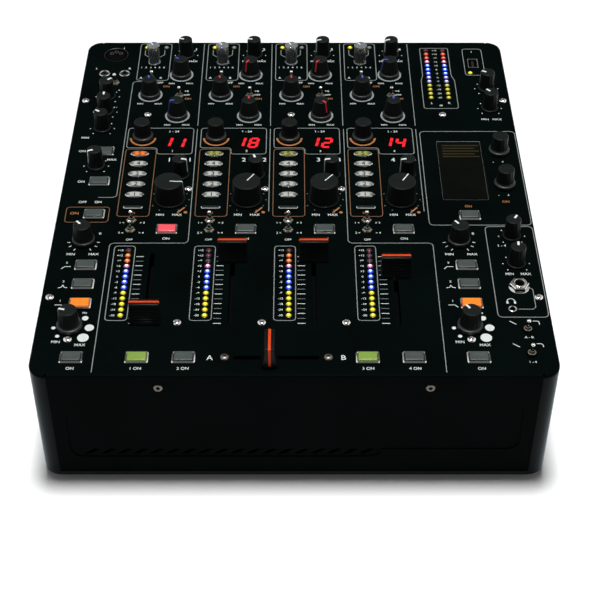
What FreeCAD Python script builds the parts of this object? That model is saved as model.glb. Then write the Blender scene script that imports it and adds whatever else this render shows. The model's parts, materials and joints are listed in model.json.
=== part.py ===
# Four-channel desktop audio mixer, all sizes in millimetres.
# x runs to the right, y to the back, z up. The origin is on the floor, under the middle of the object.
import FreeCAD, Part
import math
import os

# Case
LEFT_STRIP = 38.5
CHANNEL_PITCH = 52.5
CHANNELS = 4
RIGHT_STRIP = 71.5
CASE_HEIGHT = 90.0
CORNER_RADIUS = 11.0
SHEET = 1.5
PANEL_SHEET = 2.0
PANEL_EDGE = 1.2
FOOT_HEIGHT = 5.0
FOOT_RADIUS = 10.0
FOOT_INSET = 28.0
LIP_HEIGHT = 3.3
LIP_SEAM = 1.1
NOTCH_WIDTH = 1.2
NOTCH_DEPTH = 1.8
FOOT_TAPER = 1.0

# Rows of controls, measured from the front edge of the panel
FRONT_ROW = 15.0
CROSSFADER_ROW = 15.5
LOW_SCREW_ROW = 31.0
FREQUENCY_ROW = 42.0
CHANNEL_SCREW_ROW = 46.0
FADER_LOW_ROW = 48.0
METER_LOW_ROW = 52.7
FILTER_BUTTON_ROW = 63.0
SIDE_SCREW_LOW_ROW = 69.0
RESONANCE_ROW = 123.7
ROUTE_FRONT_ROW = 134.7
CUE_ROW = 135.5
ROUTE_BACK_ROW = 144.7
MENU_ROW = 150.0
SHIFT_ROW = 151.5
SELECT_ROW = 157.5
WET_ROW = 167.5
OVAL_LOW_ROW = 171.5
WET_SCREW_ROW = 179.0
MIC_ON_ROW = 187.2
EFFECT_ROW = 194.5
SCREEN_ROW = 200.8
MIC_CUE_ROW = 221.5
DIGIT_ROW = 232.3
ENCODER_ROW = 238.2
LOW_TONE_ROW = 265.5
TONE_SCREW_ROW = 266.5
SIDE_SCREW_HIGH_ROW = 284.0
MAIN_METER_LOW_ROW = 288.5
RIGHT_TOGGLE_ROW = 290.0
MID_TONE_ROW = 292.0
MIC_TOGGLE_ROW = 307.0
LEFT_TOGGLE_ROW = 311.0
HIGH_TONE_ROW = 318.4
PHONO_ROW = 320.0
DATA_LAMP_ROW = 321.0
DATA_ROW = 334.6
INPUT_ROW = 334.6
TRIM_ROW = 345.0
MIC_SOCKET_ROW = 346.5
INPUT_LAMP_ROW = 356.0
REAR_MARGIN = 8.0

# Pitches along a column
FILTER_BUTTONS = 3
FILTER_BUTTON_PITCH = 18.2
OVALS = 5
OVAL_PITCH = 11.55
METER_LAMPS = 13
METER_PITCH = 5.17
MAIN_METER_PITCH = 5.29

# Columns inside a channel, measured from its left border
METER_COLUMN = 13.0
OVAL_COLUMN = 12.4
ENCODER_COLUMN = 13.0
LEFT_COLUMN = 14.3
FADER_COLUMN = 29.0
RIGHT_COLUMN = 36.0
WET_COLUMN = 36.7
TRIM_COLUMN = 38.3
EFFECT_COLUMN = 42.4
BORDER_SCREW_COLUMN = 48.8
INPUT_LAMP_LEFT = 7.0
INPUT_LAMP_RIGHT = 8.0
CROSSFADER_COLUMN = 5.7

# Effect buttons of the front row: the channel whose border each is measured from, and its column
FRONT_BUTTONS = [(0, 26.2), (1, 2.0), (3, 8.4), (3, 36.5)]

# Columns of the left strip, measured from the left edge
LEFT_KNOB_COLUMN = 21.2
LEFT_BUTTON_COLUMN = 25.2
MIC_SOCKET_COLUMN = 22.4
PHONO_COLUMNS = [16.0, 31.2]
SIDE_SCREW_INSET = 5.6

# Columns of the right strip, measured from the right edge
RIGHT_KNOB_COLUMN = 51.5
RIGHT_BUTTON_COLUMN = 48.5
MAIN_METER_COLUMNS = [58.2, 45.2]
SIDE_KNOB_COLUMN = 16.2
SIDE_ENCODER_COLUMN = 15.0
SCREEN_COLUMN = 42.5
MENU_COLUMN = 42.0
DATA_COLUMN = 23.1
DATA_LAMP_COLUMN = 26.3
JACK_COLUMN = 17.0
SMALL_JACK_COLUMN = 23.5

# Rows of the side knobs and toggles
MIC_KNOB_ROWS = [289.5, 270.0, 249.5, 205.0]
BOOTH_ROWS = [300.0, 274.5]
SIDE_ENCODER_ROWS = [221.6, 183.6]
PHONES_ROWS = [129.0, 101.5]
JACK_ROW = 78.7
SMALL_JACK_ROW = 57.6
CURVE_ROWS = [39.3, 18.4]

# How far the bodies that cut or join others reach past a face, and how near two heights count as the same
OVERSHOOT = 1.0
NEAR = 1e-4

# Knob caps: foot radius, body radius, top radius, height of the straight foot, height of the flare, height
SLIM_KNOB = (6.2, 5.4, 5.1, 0.8, 1.8, 14.2)
SKIRT_KNOB = (7.5, 6.6, 5.1, 2.4, 4.0, 13.6)
FILTER_KNOB = (8.0, 6.9, 5.6, 2.6, 4.4, 14.2)
ENCODER_KNOB = (7.4, 6.1, 5.7, 2.4, 4.4, 13.6)
WIDE_KNOB = (10.5, 10.0, 9.5, 1.0, 2.0, 15.6)
CLEAR_KNOB = (4.6, 4.4, 4.9, 1.2, 2.0, 15.6)
KNOB_GAP = 0.8
KNOB_EDGE = 0.9
POINTER_WIDTH = 1.2
POINTER_DEPTH = 0.4

# Shares of a knob cap: where its pointer starts along the top radius, and how far up its socket goes
POINTER_START = 0.3
SOCKET_RISE = 0.7

# Spindle, bush and body under a knob
SPINDLE_RADIUS = 2.5
SPINDLE_CLEARANCE = 0.15
BUSH_WALL = 0.85
BUSH_PROUD = 0.4
PANEL_HOLE_CLEARANCE = 0.2
POT_SIZE = 10.0
POT_HEIGHT = 7.0
POT_FLOOR = 1.0
SPINDLE_END_GAP = 0.6

# Faders
FADER_TRAVEL = 60.0
CROSSFADER_TRAVEL = 45.0
CAP_LENGTH = 18.8
CAP_FOOT = 10.8
CAP_TOP = 6.2
CAP_HEIGHT = 14.7
CAP_GAP = 0.8
CAP_EDGE = 0.7
BLADE_LENGTH = 5.0
BLADE_THICKNESS = 1.2
BLADE_IN_CAP = 8.0
BLADE_CLEARANCE = 0.9
SLOT_CORNER = 1.0
CARRIAGE_LENGTH = 10.0
CARRIAGE_WIDTH = 8.8
CARRIAGE_HEIGHT = 6.0
CARRIAGE_CLEARANCE = 0.6
TRACK_WALL = 1.6
TRACK_END = 5.5
TRACK_SCREW_MARGIN = 2.2

# Buttons
BUTTON_LENGTH = 11.4
BUTTON_WIDTH = 7.1
BUTTON_CORNER = 0.8
BUTTON_EDGE = 0.5
BUTTON_PROUD = 2.3
OVAL_LENGTH = 13.2
OVAL_WIDTH = 6.4
OVAL_PROUD = 1.9
BAR_LENGTH = 13.0
BAR_WIDTH = 3.2
BAR_CORNER = 1.28
BUTTON_SKIRT = 2.0
BUTTON_CLEARANCE = 0.35
BUTTON_TRAVEL = 1.0
BEZEL_WALL = 1.1
BEZEL_HEIGHT = 1.5
BEZEL_SEAT = 0.6
BEZEL_EDGE = 0.33
STEM = 2.4
STEM_CLEARANCE = 0.4
STEM_IN_SWITCH = 2.0
SWITCH_SIZE = 6.4
PRESSED_GAP = 2.0
PRESSED_WELL = 3.0

# Toggles
TOGGLE_BUSH_RADIUS = 2.5
TOGGLE_BORE_RADIUS = 1.9
TOGGLE_NUT_RADIUS = 2.85
TOGGLE_NUT_HEIGHT = 1.4
TOGGLE_BUSH_PROUD = 2.0
TOGGLE_BODY = 8.0
TOGGLE_BODY_GAP = 1.0
TOGGLE_PIVOT_DROP = 1.2
TOGGLE_PIVOT_RADIUS = 1.4
TOGGLE_STEM_RADIUS = 0.9
TOGGLE_TIP_RADIUS = 1.35
TOGGLE_HEIGHT = 9.0
TOGGLE_PIN_RADIUS = 0.6
TOGGLE_PIN_CLEARANCE = 0.15
TOGGLE_PIN_INSET = 0.3
TOGGLE_BORE_SPARE = 0.6

# Lamps and windows
LAMP_RADIUS = 1.6
LAMP_CLEARANCE = 0.1
LAMP_PROUD = 0.7
LAMP_EDGE = 0.6
DIGIT_WIDTH = 17.0
DIGIT_DEPTH = 14.5
SCREEN_WIDTH = 33.0
SCREEN_DEPTH = 64.5
WINDOW_CLEARANCE = 0.1
WINDOW_CORNER = 1.0
WINDOW_FLANGE = 2.0
WINDOW_FLANGE_HEIGHT = 1.2

# Screws and pillars
SCREW_HEAD_RADIUS = 2.7
SCREW_HEAD_HEIGHT = 1.5
SCREW_SHANK_RADIUS = 1.3
SCREW_LENGTH = 8.0
SCREW_CLEARANCE = 0.2
SCREW_SOCKET = 0.8
SCREW_DRIVE_RADIUS = 1.08
FRONT_DRIVE_RADIUS = 1.04
PILLAR_RADIUS = 2.6
FRONT_SCREW_SPREAD = 82.0
FRONT_SCREW_DROP = 10.5

# Front panel
RECESS_SIDE = 19.5
RECESS_TOP = 22.6
RECESS_HEIGHT = 50.0
RECESS_RISE = 7.0
RECESS_STEP = 55.0
RECESS_DEPTH = 0.5
RECESS_CORNER = 8.0
VENTS = 18
VENT_PITCH = 10.12
VENT_START = 33.2
VENT_DROP = 68.1
VENT_HEIGHT = 4.4
VENT_WIDTH = 4.0
VENT_LEAN = 6.0

# Board and power supply
BOARD_DROP = 16.0
BOARD_THICKNESS = 1.6
BOARD_GAP = 1.0
BOARD_HOLE_CLEARANCE = 0.6
BOARD_HOLE_CORNER = 1.0
SUPPLY_SIZE = (110.0, 130.0, 36.0)
SUPPLY_INSET = 22.0
SUPPLY_SLOTS = 9
SUPPLY_SLOT_DEPTH = 10.8
COIL_RADIUS = 38.0
COIL_HOLE = 9.0
COIL_HEIGHT = 34.0

# Panel sockets
MIC_BODY_RADIUS = 11.0
MIC_RING_RADIUS = 9.4
MIC_INSERT_RADIUS = 7.2
MIC_DEPTH = 20.0
MIC_GAP_DEPTH = 15.0
MIC_PIN_CIRCLE = 4.0
MIC_PIN_RADIUS = 1.25
MIC_PIN_TURNS = (30, 90, 150)
MIC_INSERT_DROP = 0.4
PHONO_RADIUS = 4.1
PHONO_MOUTH_RADIUS = 2.8
PHONO_PIN_RADIUS = 1.6
PHONO_PROUD = 0.8
PHONO_DEPTH = 12.0
PHONO_FLANGE = 1.6
PHONO_FLOOR = 3.0
PHONO_MOUTH_DEPTH = 2.0
DATA_LENGTH = 12.0
DATA_WIDTH = 7.8
DATA_WALL = 0.7
DATA_DEPTH = 14.0
DATA_TONGUE = 2.0
DATA_TONGUE_INSET = 1.4
DATA_TONGUE_DROP = 1.5
DATA_FLANGE = 1.5
DATA_FLOOR = 2.0
DATA_CORNER = 0.5
JACK_RADIUS = 3.2
JACK_NUT_RADIUS = 6.0
JACK_NUT_HEIGHT = 4.4
JACK_BODY = 14.0
JACK_DEPTH = 26.0
JACK_FLOOR = 2.0
SMALL_JACK_RADIUS = 1.8
SMALL_JACK_NUT_RADIUS = 2.9
SMALL_JACK_NUT_HEIGHT = 1.4
SMALL_JACK_BODY = 8.0
SMALL_JACK_DEPTH = 14.5

# Rear sockets, heights measured from the base
REAR_REACH = 8.0
REAR_PHONO_LOW = 30.0
REAR_PHONO_RISE = 22.0
REAR_PHONO_SPREAD = 16.0
REAR_PHONO_FLANGE = 5.6
REAR_FLANGE_HEIGHT = 1.2
REAR_PHONO_TAIL = 8.0
OUTPUT_RADIUS = 9.4
OUTPUT_BODY_RADIUS = 11.2
OUTPUT_FLANGE_RADIUS = 13.0
OUTPUT_DEPTH = 15.0
OUTPUT_PIN_LENGTH = 9.0
OUTPUT_PIN_TURNS = (-30, 90, 210)
OUTPUT_FLOOR = 3.0
OUTPUT_HEIGHT = 52.0
OUTPUT_COLUMNS = [59.0, 29.0]
REAR_JACK_HEIGHT = 20.0
INLET_WIDTH = 24.4
INLET_HEIGHT = 16.6
INLET_WALL = 1.6
INLET_DEPTH = 16.0
INLET_FLOOR = 3.0
INLET_PIN_LENGTH = 9.0
INLET_PIN_WIDTH = 2.0
INLET_PIN_HEIGHT = 4.0
INLET_PINS = [(-7.0, -2.0), (0.0, 2.0), (7.0, -2.0)]
INLET_FLANGE = 3.2
INLET_COLUMN = 29.0
INLET_LIFT = 46.0
EARTH_RADIUS = 3.0
EARTH_LENGTH = 6.5
EARTH_SHANK_RADIUS = 1.8
EARTH_TAIL = 5.0
EARTH_COLUMN = 105.0
EARTH_LIFT = 66.0

# Pointer directions at rest, in degrees clockwise from straight back, channel by channel
HIGH_ANGLES = [-60, -145, -145, -100]
MID_ANGLES = [-10, -10, 0, 0]
LOW_ANGLES = [-105, 0, 140, 0]
TRIM_ANGLES = [-80, -85, -112, -112]
EFFECT_ANGLES = [105, -20, -105, -105]
WET_ANGLES = [95, 34, 40, 31]
INPUT_ANGLES = [-30, -30, -30, -30]
MIC_ANGLES = [55, 0, -60, -115]
BOOTH_ANGLES = [-70, -45]
PHONES_ANGLES = [35, 5]
RESONANCE_ANGLES = [-45, -38]
FREQUENCY_ANGLES = [-80, -35]

# Fader positions at rest, measured from the front end of the travel, and the crossfader from its middle
FADER_RESTS = [0.5, 59.5, 59.5, 44.0]
CROSSFADER_REST = -4.0

# Derived sizes
CASE_WIDTH = LEFT_STRIP + CHANNELS * CHANNEL_PITCH + RIGHT_STRIP
CASE_DEPTH = INPUT_LAMP_ROW + REAR_MARGIN
LEFT_EDGE = -CASE_WIDTH / 2
RIGHT_EDGE = CASE_WIDTH / 2
FRONT_EDGE = -(CASE_DEPTH + REAR_REACH) / 2
REAR_EDGE = FRONT_EDGE + CASE_DEPTH
MIDDLE_Y = (FRONT_EDGE + REAR_EDGE) / 2
FLAT_HALF = CASE_WIDTH / 2 - CORNER_RADIUS
BASE_BOTTOM = FOOT_HEIGHT
BASE_TOP = BASE_BOTTOM + SHEET
PANEL_TOP = FOOT_HEIGHT + CASE_HEIGHT
PANEL_UNDER = PANEL_TOP - PANEL_SHEET
BOARD_TOP = PANEL_UNDER - BOARD_DROP
BUSH_RADIUS = SPINDLE_RADIUS + SPINDLE_CLEARANCE + BUSH_WALL
SWITCH_GAP = BUTTON_TRAVEL + PRESSED_GAP
SWITCH_WELL = STEM_IN_SWITCH + BUTTON_TRAVEL + PRESSED_WELL
SKIRT_LEVEL = PANEL_UNDER - BUTTON_SKIRT
TOGGLE_PIVOT = PANEL_TOP - TOGGLE_PIVOT_DROP
UP = FreeCAD.Vector(0, 0, 1)

panel_holes = []
board_holes = []
nodes = {}


def point(x, y, z):
    return FreeCAD.Vector(x, y, z)


def row(distance):
    return FRONT_EDGE + distance


def channel_x(channel, column):
    return LEFT_EDGE + LEFT_STRIP + channel * CHANNEL_PITCH + column


def add(node, solids):
    nodes.setdefault(node, []).extend(solids)


def box(x0, x1, y0, y1, z0, z1):
    return Part.makeBox(x1 - x0, y1 - y0, z1 - z0, point(x0, y0, z0))


def block(x, y, width, depth, z0, z1):
    return box(x - width / 2, x + width / 2, y - depth / 2, y + depth / 2, z0, z1)


def post(x, y, radius, z0, z1):
    return Part.makeCylinder(radius, z1 - z0, point(x, y, z0), UP)


def bar(x, z, radius, y0, y1):
    return Part.makeCylinder(radius, y1 - y0, point(x, y0, z), point(0, 1, 0))


def circle(x, y, radius, z):
    return Part.Wire([Part.makeCircle(radius, point(x, y, z))])


def ellipse(x, y, width, depth, z):
    curve = Part.Ellipse(point(x, y, z), width / 2, depth / 2)
    return Part.Wire([curve.toShape()])


def rounded(x, y, width, depth, corner, z):
    """Closed outline of a rectangle with round corners, lying flat at height z."""
    edges = []
    inner_x = width / 2 - corner
    inner_y = depth / 2 - corner
    centres = [(inner_x, inner_y), (-inner_x, inner_y), (-inner_x, -inner_y), (inner_x, -inner_y)]
    ends = []
    for quarter, (cx, cy) in enumerate(centres):
        arc = []
        for eighth in range(3):
            turn = math.radians(90 * quarter + 45 * eighth)
            arc.append(point(x + cx + corner * math.cos(turn), y + cy + corner * math.sin(turn), z))
        ends.append(arc)
    for quarter in range(4):
        start, middle, end = ends[quarter]
        edges.append(Part.Arc(start, middle, end).toShape())
        edges.append(Part.makeLine(end, ends[(quarter + 1) % 4][0]))
    return Part.Wire(edges)


def sheet(outline, holes, height):
    """Flat plate with holes, raised from the plane of its outline."""
    face = Part.makeFace([outline] + holes, "Part::FaceMakerBullseye")
    return face.extrude(point(0, 0, height))


def solid_from(outline, height):
    return Part.Face(outline).extrude(point(0, 0, height))


def turned(profile):
    """Solid of revolution about z from a closed list of radius and height pairs."""
    corners = [point(radius, 0, z) for radius, z in profile]
    face = Part.Face(Part.makePolygon(corners + [corners[0]]))
    return face.revolve(point(0, 0, 0), UP, 360)


def top_edges(shape, z):
    """Edges that lie wholly at height z."""
    level = [edge for edge in shape.Edges if edge.BoundBox.ZLength < NEAR]
    return [edge for edge in level if abs(edge.BoundBox.ZMin - z) < NEAR]


def placed(shape, x, y, z=0.0, clockwise=0.0):
    """Copy of a shape drawn at the origin, turned about z and moved into place."""
    copy = shape.copy()
    copy.rotate(point(0, 0, 0), UP, -clockwise)
    copy.translate(point(x, y, z))
    return copy


# Knobs, each with its spindle, and the body and bush that carry it
def knob_cap(style):
    foot, body, top, straight, flare, height = style
    profile = [(0, 0), (foot, 0), (foot, straight), (body, flare), (top, height), (0, height)]
    cap = turned(profile)
    rim = [edge for edge in top_edges(cap, height) if abs(edge.BoundBox.XMax - top) < NEAR]
    cap = cap.makeFillet(KNOB_EDGE, rim)
    pointer = box(-POINTER_WIDTH / 2, POINTER_WIDTH / 2, top * POINTER_START, top + OVERSHOOT,
                  height - POINTER_DEPTH, height + OVERSHOOT)
    socket = post(0, 0, SPINDLE_RADIUS, -OVERSHOOT, height * SOCKET_RISE)
    return cap.cut(pointer).cut(socket)


def spindle(style):
    foot, body, top, straight, flare, height = style
    bottom = BOARD_TOP + POT_FLOOR + SPINDLE_END_GAP - (PANEL_TOP + KNOB_GAP)
    return post(0, 0, SPINDLE_RADIUS, bottom, height * SOCKET_RISE)


def pot_body():
    body = block(0, 0, POT_SIZE, POT_SIZE, BOARD_TOP, BOARD_TOP + POT_HEIGHT)
    bush = post(0, 0, BUSH_RADIUS, BOARD_TOP + POT_HEIGHT, PANEL_TOP + BUSH_PROUD)
    bore_radius = SPINDLE_RADIUS + SPINDLE_CLEARANCE
    bore = post(0, 0, bore_radius, BOARD_TOP + POT_FLOOR, PANEL_TOP + BUSH_PROUD + OVERSHOOT)
    return body.fuse(bush).cut(bore).removeSplitter()


POT_BODY = pot_body()
KNOBS = [SLIM_KNOB, SKIRT_KNOB, FILTER_KNOB, ENCODER_KNOB, WIDE_KNOB, CLEAR_KNOB]
CAPS = {style: knob_cap(style) for style in KNOBS}
SPINDLES = {style: spindle(style) for style in CAPS}


def add_knob(node, x, y, style, clockwise=0.0):
    panel_holes.append(circle(x, y, BUSH_RADIUS + PANEL_HOLE_CLEARANCE, PANEL_UNDER))
    add("control_bodies", [placed(POT_BODY, x, y)])
    seat = PANEL_TOP + KNOB_GAP
    add(node, [placed(CAPS[style], x, y, seat, clockwise), placed(SPINDLES[style], x, y, seat)])


# Faders, drawn with their travel along y
def fader_track(travel):
    cavity_half = CARRIAGE_WIDTH / 2 + CARRIAGE_CLEARANCE
    run_half = travel / 2 + CARRIAGE_LENGTH / 2 + CARRIAGE_CLEARANCE
    slot_half = BLADE_THICKNESS / 2 + BLADE_CLEARANCE
    slot_run = travel / 2 + BLADE_LENGTH / 2 + BLADE_CLEARANCE
    depth = CARRIAGE_HEIGHT + 2 * CARRIAGE_CLEARANCE + 2 * TRACK_WALL
    bottom = PANEL_UNDER - depth
    body = block(0, 0, 2 * (cavity_half + TRACK_WALL), 2 * (run_half + TRACK_END), bottom, PANEL_UNDER)
    cavity = block(0, 0, 2 * cavity_half, 2 * run_half, bottom + TRACK_WALL, PANEL_UNDER - TRACK_WALL)
    slot_floor = PANEL_UNDER - TRACK_WALL - OVERSHOOT
    slot = block(0, 0, 2 * slot_half, 2 * slot_run, slot_floor, PANEL_UNDER + OVERSHOOT)
    return body.cut(cavity).cut(slot)


def fader_blade():
    carriage_top = PANEL_UNDER - TRACK_WALL - CARRIAGE_CLEARANCE
    carriage = block(0, 0, CARRIAGE_WIDTH, CARRIAGE_LENGTH, carriage_top - CARRIAGE_HEIGHT, carriage_top)
    blade_top = PANEL_TOP + CAP_GAP + BLADE_IN_CAP
    blade = block(0, 0, BLADE_THICKNESS, BLADE_LENGTH, carriage_top - OVERSHOOT, blade_top)
    return carriage.fuse(blade).removeSplitter()


def fader_cap():
    bottom = PANEL_TOP + CAP_GAP
    top = bottom + CAP_HEIGHT
    left = -CAP_LENGTH / 2
    corners = [
        point(left, -CAP_FOOT / 2, bottom),
        point(left, CAP_FOOT / 2, bottom),
        point(left, CAP_TOP / 2, top),
        point(left, -CAP_TOP / 2, top),
    ]
    cap = Part.Face(Part.makePolygon(corners + [corners[0]])).extrude(point(CAP_LENGTH, 0, 0))
    cap = cap.makeFillet(CAP_EDGE, top_edges(cap, top))
    hole = block(0, 0, BLADE_THICKNESS, BLADE_LENGTH, bottom - OVERSHOOT, bottom + BLADE_IN_CAP)
    return cap.cut(hole)


FADER_BLADE = fader_blade()
FADER_CAP = fader_cap()


def slot_outline(x, y, travel, along_x):
    width = BLADE_THICKNESS + 2 * BLADE_CLEARANCE
    length = travel + BLADE_LENGTH + 2 * BLADE_CLEARANCE
    if along_x:
        return rounded(x, y, length, width, SLOT_CORNER, PANEL_UNDER)
    return rounded(x, y, width, length, SLOT_CORNER, PANEL_UNDER)


def add_fader(node, x, y, travel, offset, along_x):
    """Fader whose travel is centred on x, y; offset is where its cap stands along the travel."""
    turn = 90.0 if along_x else 0.0
    cap_x = x + offset if along_x else x
    cap_y = y if along_x else y + offset
    panel_holes.append(slot_outline(x, y, travel, along_x))
    track = placed(fader_track(travel), x, y, 0, turn)
    if along_x:
        for side in (-1, 1):
            track = track.cut(post(x + side * crossfader_screw_spread(), y, SCREW_SHANK_RADIUS,
                                   PANEL_UNDER - SCREW_LENGTH, PANEL_UNDER + OVERSHOOT))
    add("control_bodies", [track])
    add(node, [placed(FADER_CAP, cap_x, cap_y, 0, turn), placed(FADER_BLADE, cap_x, cap_y, 0, turn)])


def crossfader_screw_spread():
    run_half = CROSSFADER_TRAVEL / 2 + CARRIAGE_LENGTH / 2 + CARRIAGE_CLEARANCE
    return run_half + TRACK_END - TRACK_SCREW_MARGIN


# Push buttons
def push_switch():
    top = SKIRT_LEVEL - SWITCH_GAP
    body = block(0, 0, SWITCH_SIZE, SWITCH_SIZE, BOARD_TOP, top)
    opening = STEM + 2 * STEM_CLEARANCE
    well = block(0, 0, opening, opening, top - SWITCH_WELL, top + OVERSHOOT)
    return body.cut(well)


def button_cap(outline, proud):
    cap = solid_from(outline, PANEL_TOP + proud - SKIRT_LEVEL)
    cap = cap.makeFillet(BUTTON_EDGE, top_edges(cap, PANEL_TOP + proud))
    stem = block(0, 0, STEM, STEM, SKIRT_LEVEL - SWITCH_GAP - STEM_IN_SWITCH, SKIRT_LEVEL)
    return cap.fuse(stem)


PUSH_SWITCH = push_switch()
SQUARE_CAP = button_cap(rounded(0, 0, BUTTON_LENGTH, BUTTON_WIDTH, BUTTON_CORNER, SKIRT_LEVEL), BUTTON_PROUD)
OVAL_CAP = button_cap(ellipse(0, 0, OVAL_LENGTH, OVAL_WIDTH, SKIRT_LEVEL), OVAL_PROUD)
BAR_CAP = button_cap(rounded(0, 0, BAR_LENGTH, BAR_WIDTH, BAR_CORNER, SKIRT_LEVEL), OVAL_PROUD)


def button_bezel():
    inner_length = BUTTON_LENGTH + 2 * BUTTON_CLEARANCE
    inner_width = BUTTON_WIDTH + 2 * BUTTON_CLEARANCE
    inner = rounded(0, 0, inner_length, inner_width, BUTTON_CORNER + BUTTON_CLEARANCE, PANEL_TOP)
    outer = rounded(0, 0, inner_length + 2 * BEZEL_WALL, inner_width + 2 * BEZEL_WALL,
                    BUTTON_CORNER + BUTTON_CLEARANCE + BEZEL_WALL, PANEL_TOP)
    frame = sheet(outer, [inner], BEZEL_HEIGHT)
    return frame.makeFillet(BEZEL_EDGE, top_edges(frame, PANEL_TOP + BEZEL_HEIGHT))


BEZEL = button_bezel()


def add_square_button(x, y):
    opening = 2 * (BUTTON_CLEARANCE + BEZEL_WALL - BEZEL_SEAT)
    hole = rounded(x, y, BUTTON_LENGTH + opening, BUTTON_WIDTH + opening, BUTTON_CORNER, PANEL_UNDER)
    panel_holes.append(hole)
    add("control_bodies", [placed(PUSH_SWITCH, x, y)])
    add("button_bezels", [placed(BEZEL, x, y)])
    add("push_buttons", [placed(SQUARE_CAP, x, y)])


def add_oval_button(x, y):
    spread = 2 * BUTTON_CLEARANCE
    panel_holes.append(ellipse(x, y, OVAL_LENGTH + spread, OVAL_WIDTH + spread, PANEL_UNDER))
    add("control_bodies", [placed(PUSH_SWITCH, x, y)])
    add("effect_buttons", [placed(OVAL_CAP, x, y)])


def add_bar_button(x, y):
    spread = 2 * BUTTON_CLEARANCE
    corner = BAR_CORNER + BUTTON_CLEARANCE
    panel_holes.append(rounded(x, y, BAR_LENGTH + spread, BAR_WIDTH + spread, corner, PANEL_UNDER))
    add("control_bodies", [placed(PUSH_SWITCH, x, y)])
    add("effect_buttons", [placed(BAR_CAP, x, y)])


# Toggles, drawn tilting to the front and back about x
def toggle_body():
    top = PANEL_TOP + TOGGLE_BUSH_PROUD
    body = block(0, 0, TOGGLE_BODY, TOGGLE_BODY, BOARD_TOP, PANEL_UNDER - TOGGLE_BODY_GAP)
    bush = post(0, 0, TOGGLE_BUSH_RADIUS, PANEL_UNDER - TOGGLE_BODY_GAP, top)
    nut = post(0, 0, TOGGLE_NUT_RADIUS, PANEL_TOP, PANEL_TOP + TOGGLE_NUT_HEIGHT)
    bore_floor = TOGGLE_PIVOT - TOGGLE_PIVOT_RADIUS - TOGGLE_BORE_SPARE
    bore = post(0, 0, TOGGLE_BORE_RADIUS, bore_floor, top + OVERSHOOT)
    reach = TOGGLE_BUSH_RADIUS + OVERSHOOT
    pin_hole = Part.makeCylinder(TOGGLE_PIN_RADIUS + TOGGLE_PIN_CLEARANCE, 2 * reach,
                                 point(-reach, 0, TOGGLE_PIVOT), point(1, 0, 0))
    return body.fuse([bush, nut]).cut(bore).cut(pin_hole).removeSplitter()


def toggle_lever():
    tip = PANEL_TOP + TOGGLE_HEIGHT - TOGGLE_TIP_RADIUS
    pivot = Part.makeSphere(TOGGLE_PIVOT_RADIUS, point(0, 0, TOGGLE_PIVOT))
    stem = Part.makeCone(TOGGLE_STEM_RADIUS, TOGGLE_TIP_RADIUS, tip - TOGGLE_PIVOT,
                         point(0, 0, TOGGLE_PIVOT), UP)
    end = Part.makeSphere(TOGGLE_TIP_RADIUS, point(0, 0, tip))
    pin_half = TOGGLE_BUSH_RADIUS - TOGGLE_PIN_INSET
    pin_start = point(-pin_half, 0, TOGGLE_PIVOT)
    pin = Part.makeCylinder(TOGGLE_PIN_RADIUS, 2 * pin_half, pin_start, point(1, 0, 0))
    return stem.fuse([pivot, end, pin])


TOGGLE_BODY_SOLID = toggle_body()
TOGGLE_LEVER = toggle_lever()


def add_toggle(node, x, y, sideways):
    turn = 90.0 if sideways else 0.0
    panel_holes.append(circle(x, y, TOGGLE_BUSH_RADIUS + PANEL_HOLE_CLEARANCE, PANEL_UNDER))
    add("control_bodies", [placed(TOGGLE_BODY_SOLID, x, y, 0, turn)])
    add(node, [placed(TOGGLE_LEVER, x, y, 0, turn)])


# Lamps, windows, screws
def lamp_lens():
    lens = post(0, 0, LAMP_RADIUS, BOARD_TOP, PANEL_TOP + LAMP_PROUD)
    return lens.makeFillet(LAMP_EDGE, top_edges(lens, PANEL_TOP + LAMP_PROUD))


LAMP = lamp_lens()


def add_lamp(x, y):
    panel_holes.append(circle(x, y, LAMP_RADIUS + LAMP_CLEARANCE, PANEL_UNDER))
    add("indicator_lenses", [placed(LAMP, x, y)])


def add_window(x, y, width, depth):
    spread = 2 * WINDOW_CLEARANCE
    panel_holes.append(rounded(x, y, width + spread, depth + spread, WINDOW_CORNER, PANEL_UNDER))
    bottom = PANEL_UNDER - WINDOW_FLANGE_HEIGHT
    pane_outline = rounded(x, y, width, depth, WINDOW_CORNER - WINDOW_CLEARANCE, bottom)
    pane = solid_from(pane_outline, PANEL_TOP - bottom)
    flange = block(x, y, width + 2 * WINDOW_FLANGE, depth + 2 * WINDOW_FLANGE, bottom, PANEL_UNDER)
    add("indicator_lenses", [pane.fuse(flange).removeSplitter()])


def panel_screw():
    radius = SCREW_HEAD_RADIUS
    height = SCREW_HEAD_HEIGHT
    ball = (radius * radius + height * height) / (2 * height)
    dome = Part.makeSphere(ball, point(0, 0, PANEL_TOP + height - ball))
    head = dome.common(post(0, 0, radius + OVERSHOOT, PANEL_TOP, PANEL_TOP + height + OVERSHOOT))
    shank = post(0, 0, SCREW_SHANK_RADIUS, PANEL_UNDER - SCREW_LENGTH, PANEL_TOP)
    drive = post(0, 0, SCREW_DRIVE_RADIUS, PANEL_TOP + height - SCREW_SOCKET, PANEL_TOP + height + OVERSHOOT)
    return head.fuse(shank).cut(drive).removeSplitter()


PANEL_SCREW = panel_screw()


def add_screw(x, y):
    panel_holes.append(circle(x, y, SCREW_SHANK_RADIUS + SCREW_CLEARANCE, PANEL_UNDER))
    add("screws_and_pillars", [placed(PANEL_SCREW, x, y)])


def add_pillar_screw(x, y):
    add_screw(x, y)
    pillar = post(x, y, PILLAR_RADIUS, BOARD_TOP, PANEL_UNDER)
    bore = post(x, y, SCREW_SHANK_RADIUS, PANEL_UNDER - SCREW_LENGTH, PANEL_UNDER + OVERSHOOT)
    add("screws_and_pillars", [pillar.cut(bore)])


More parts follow.
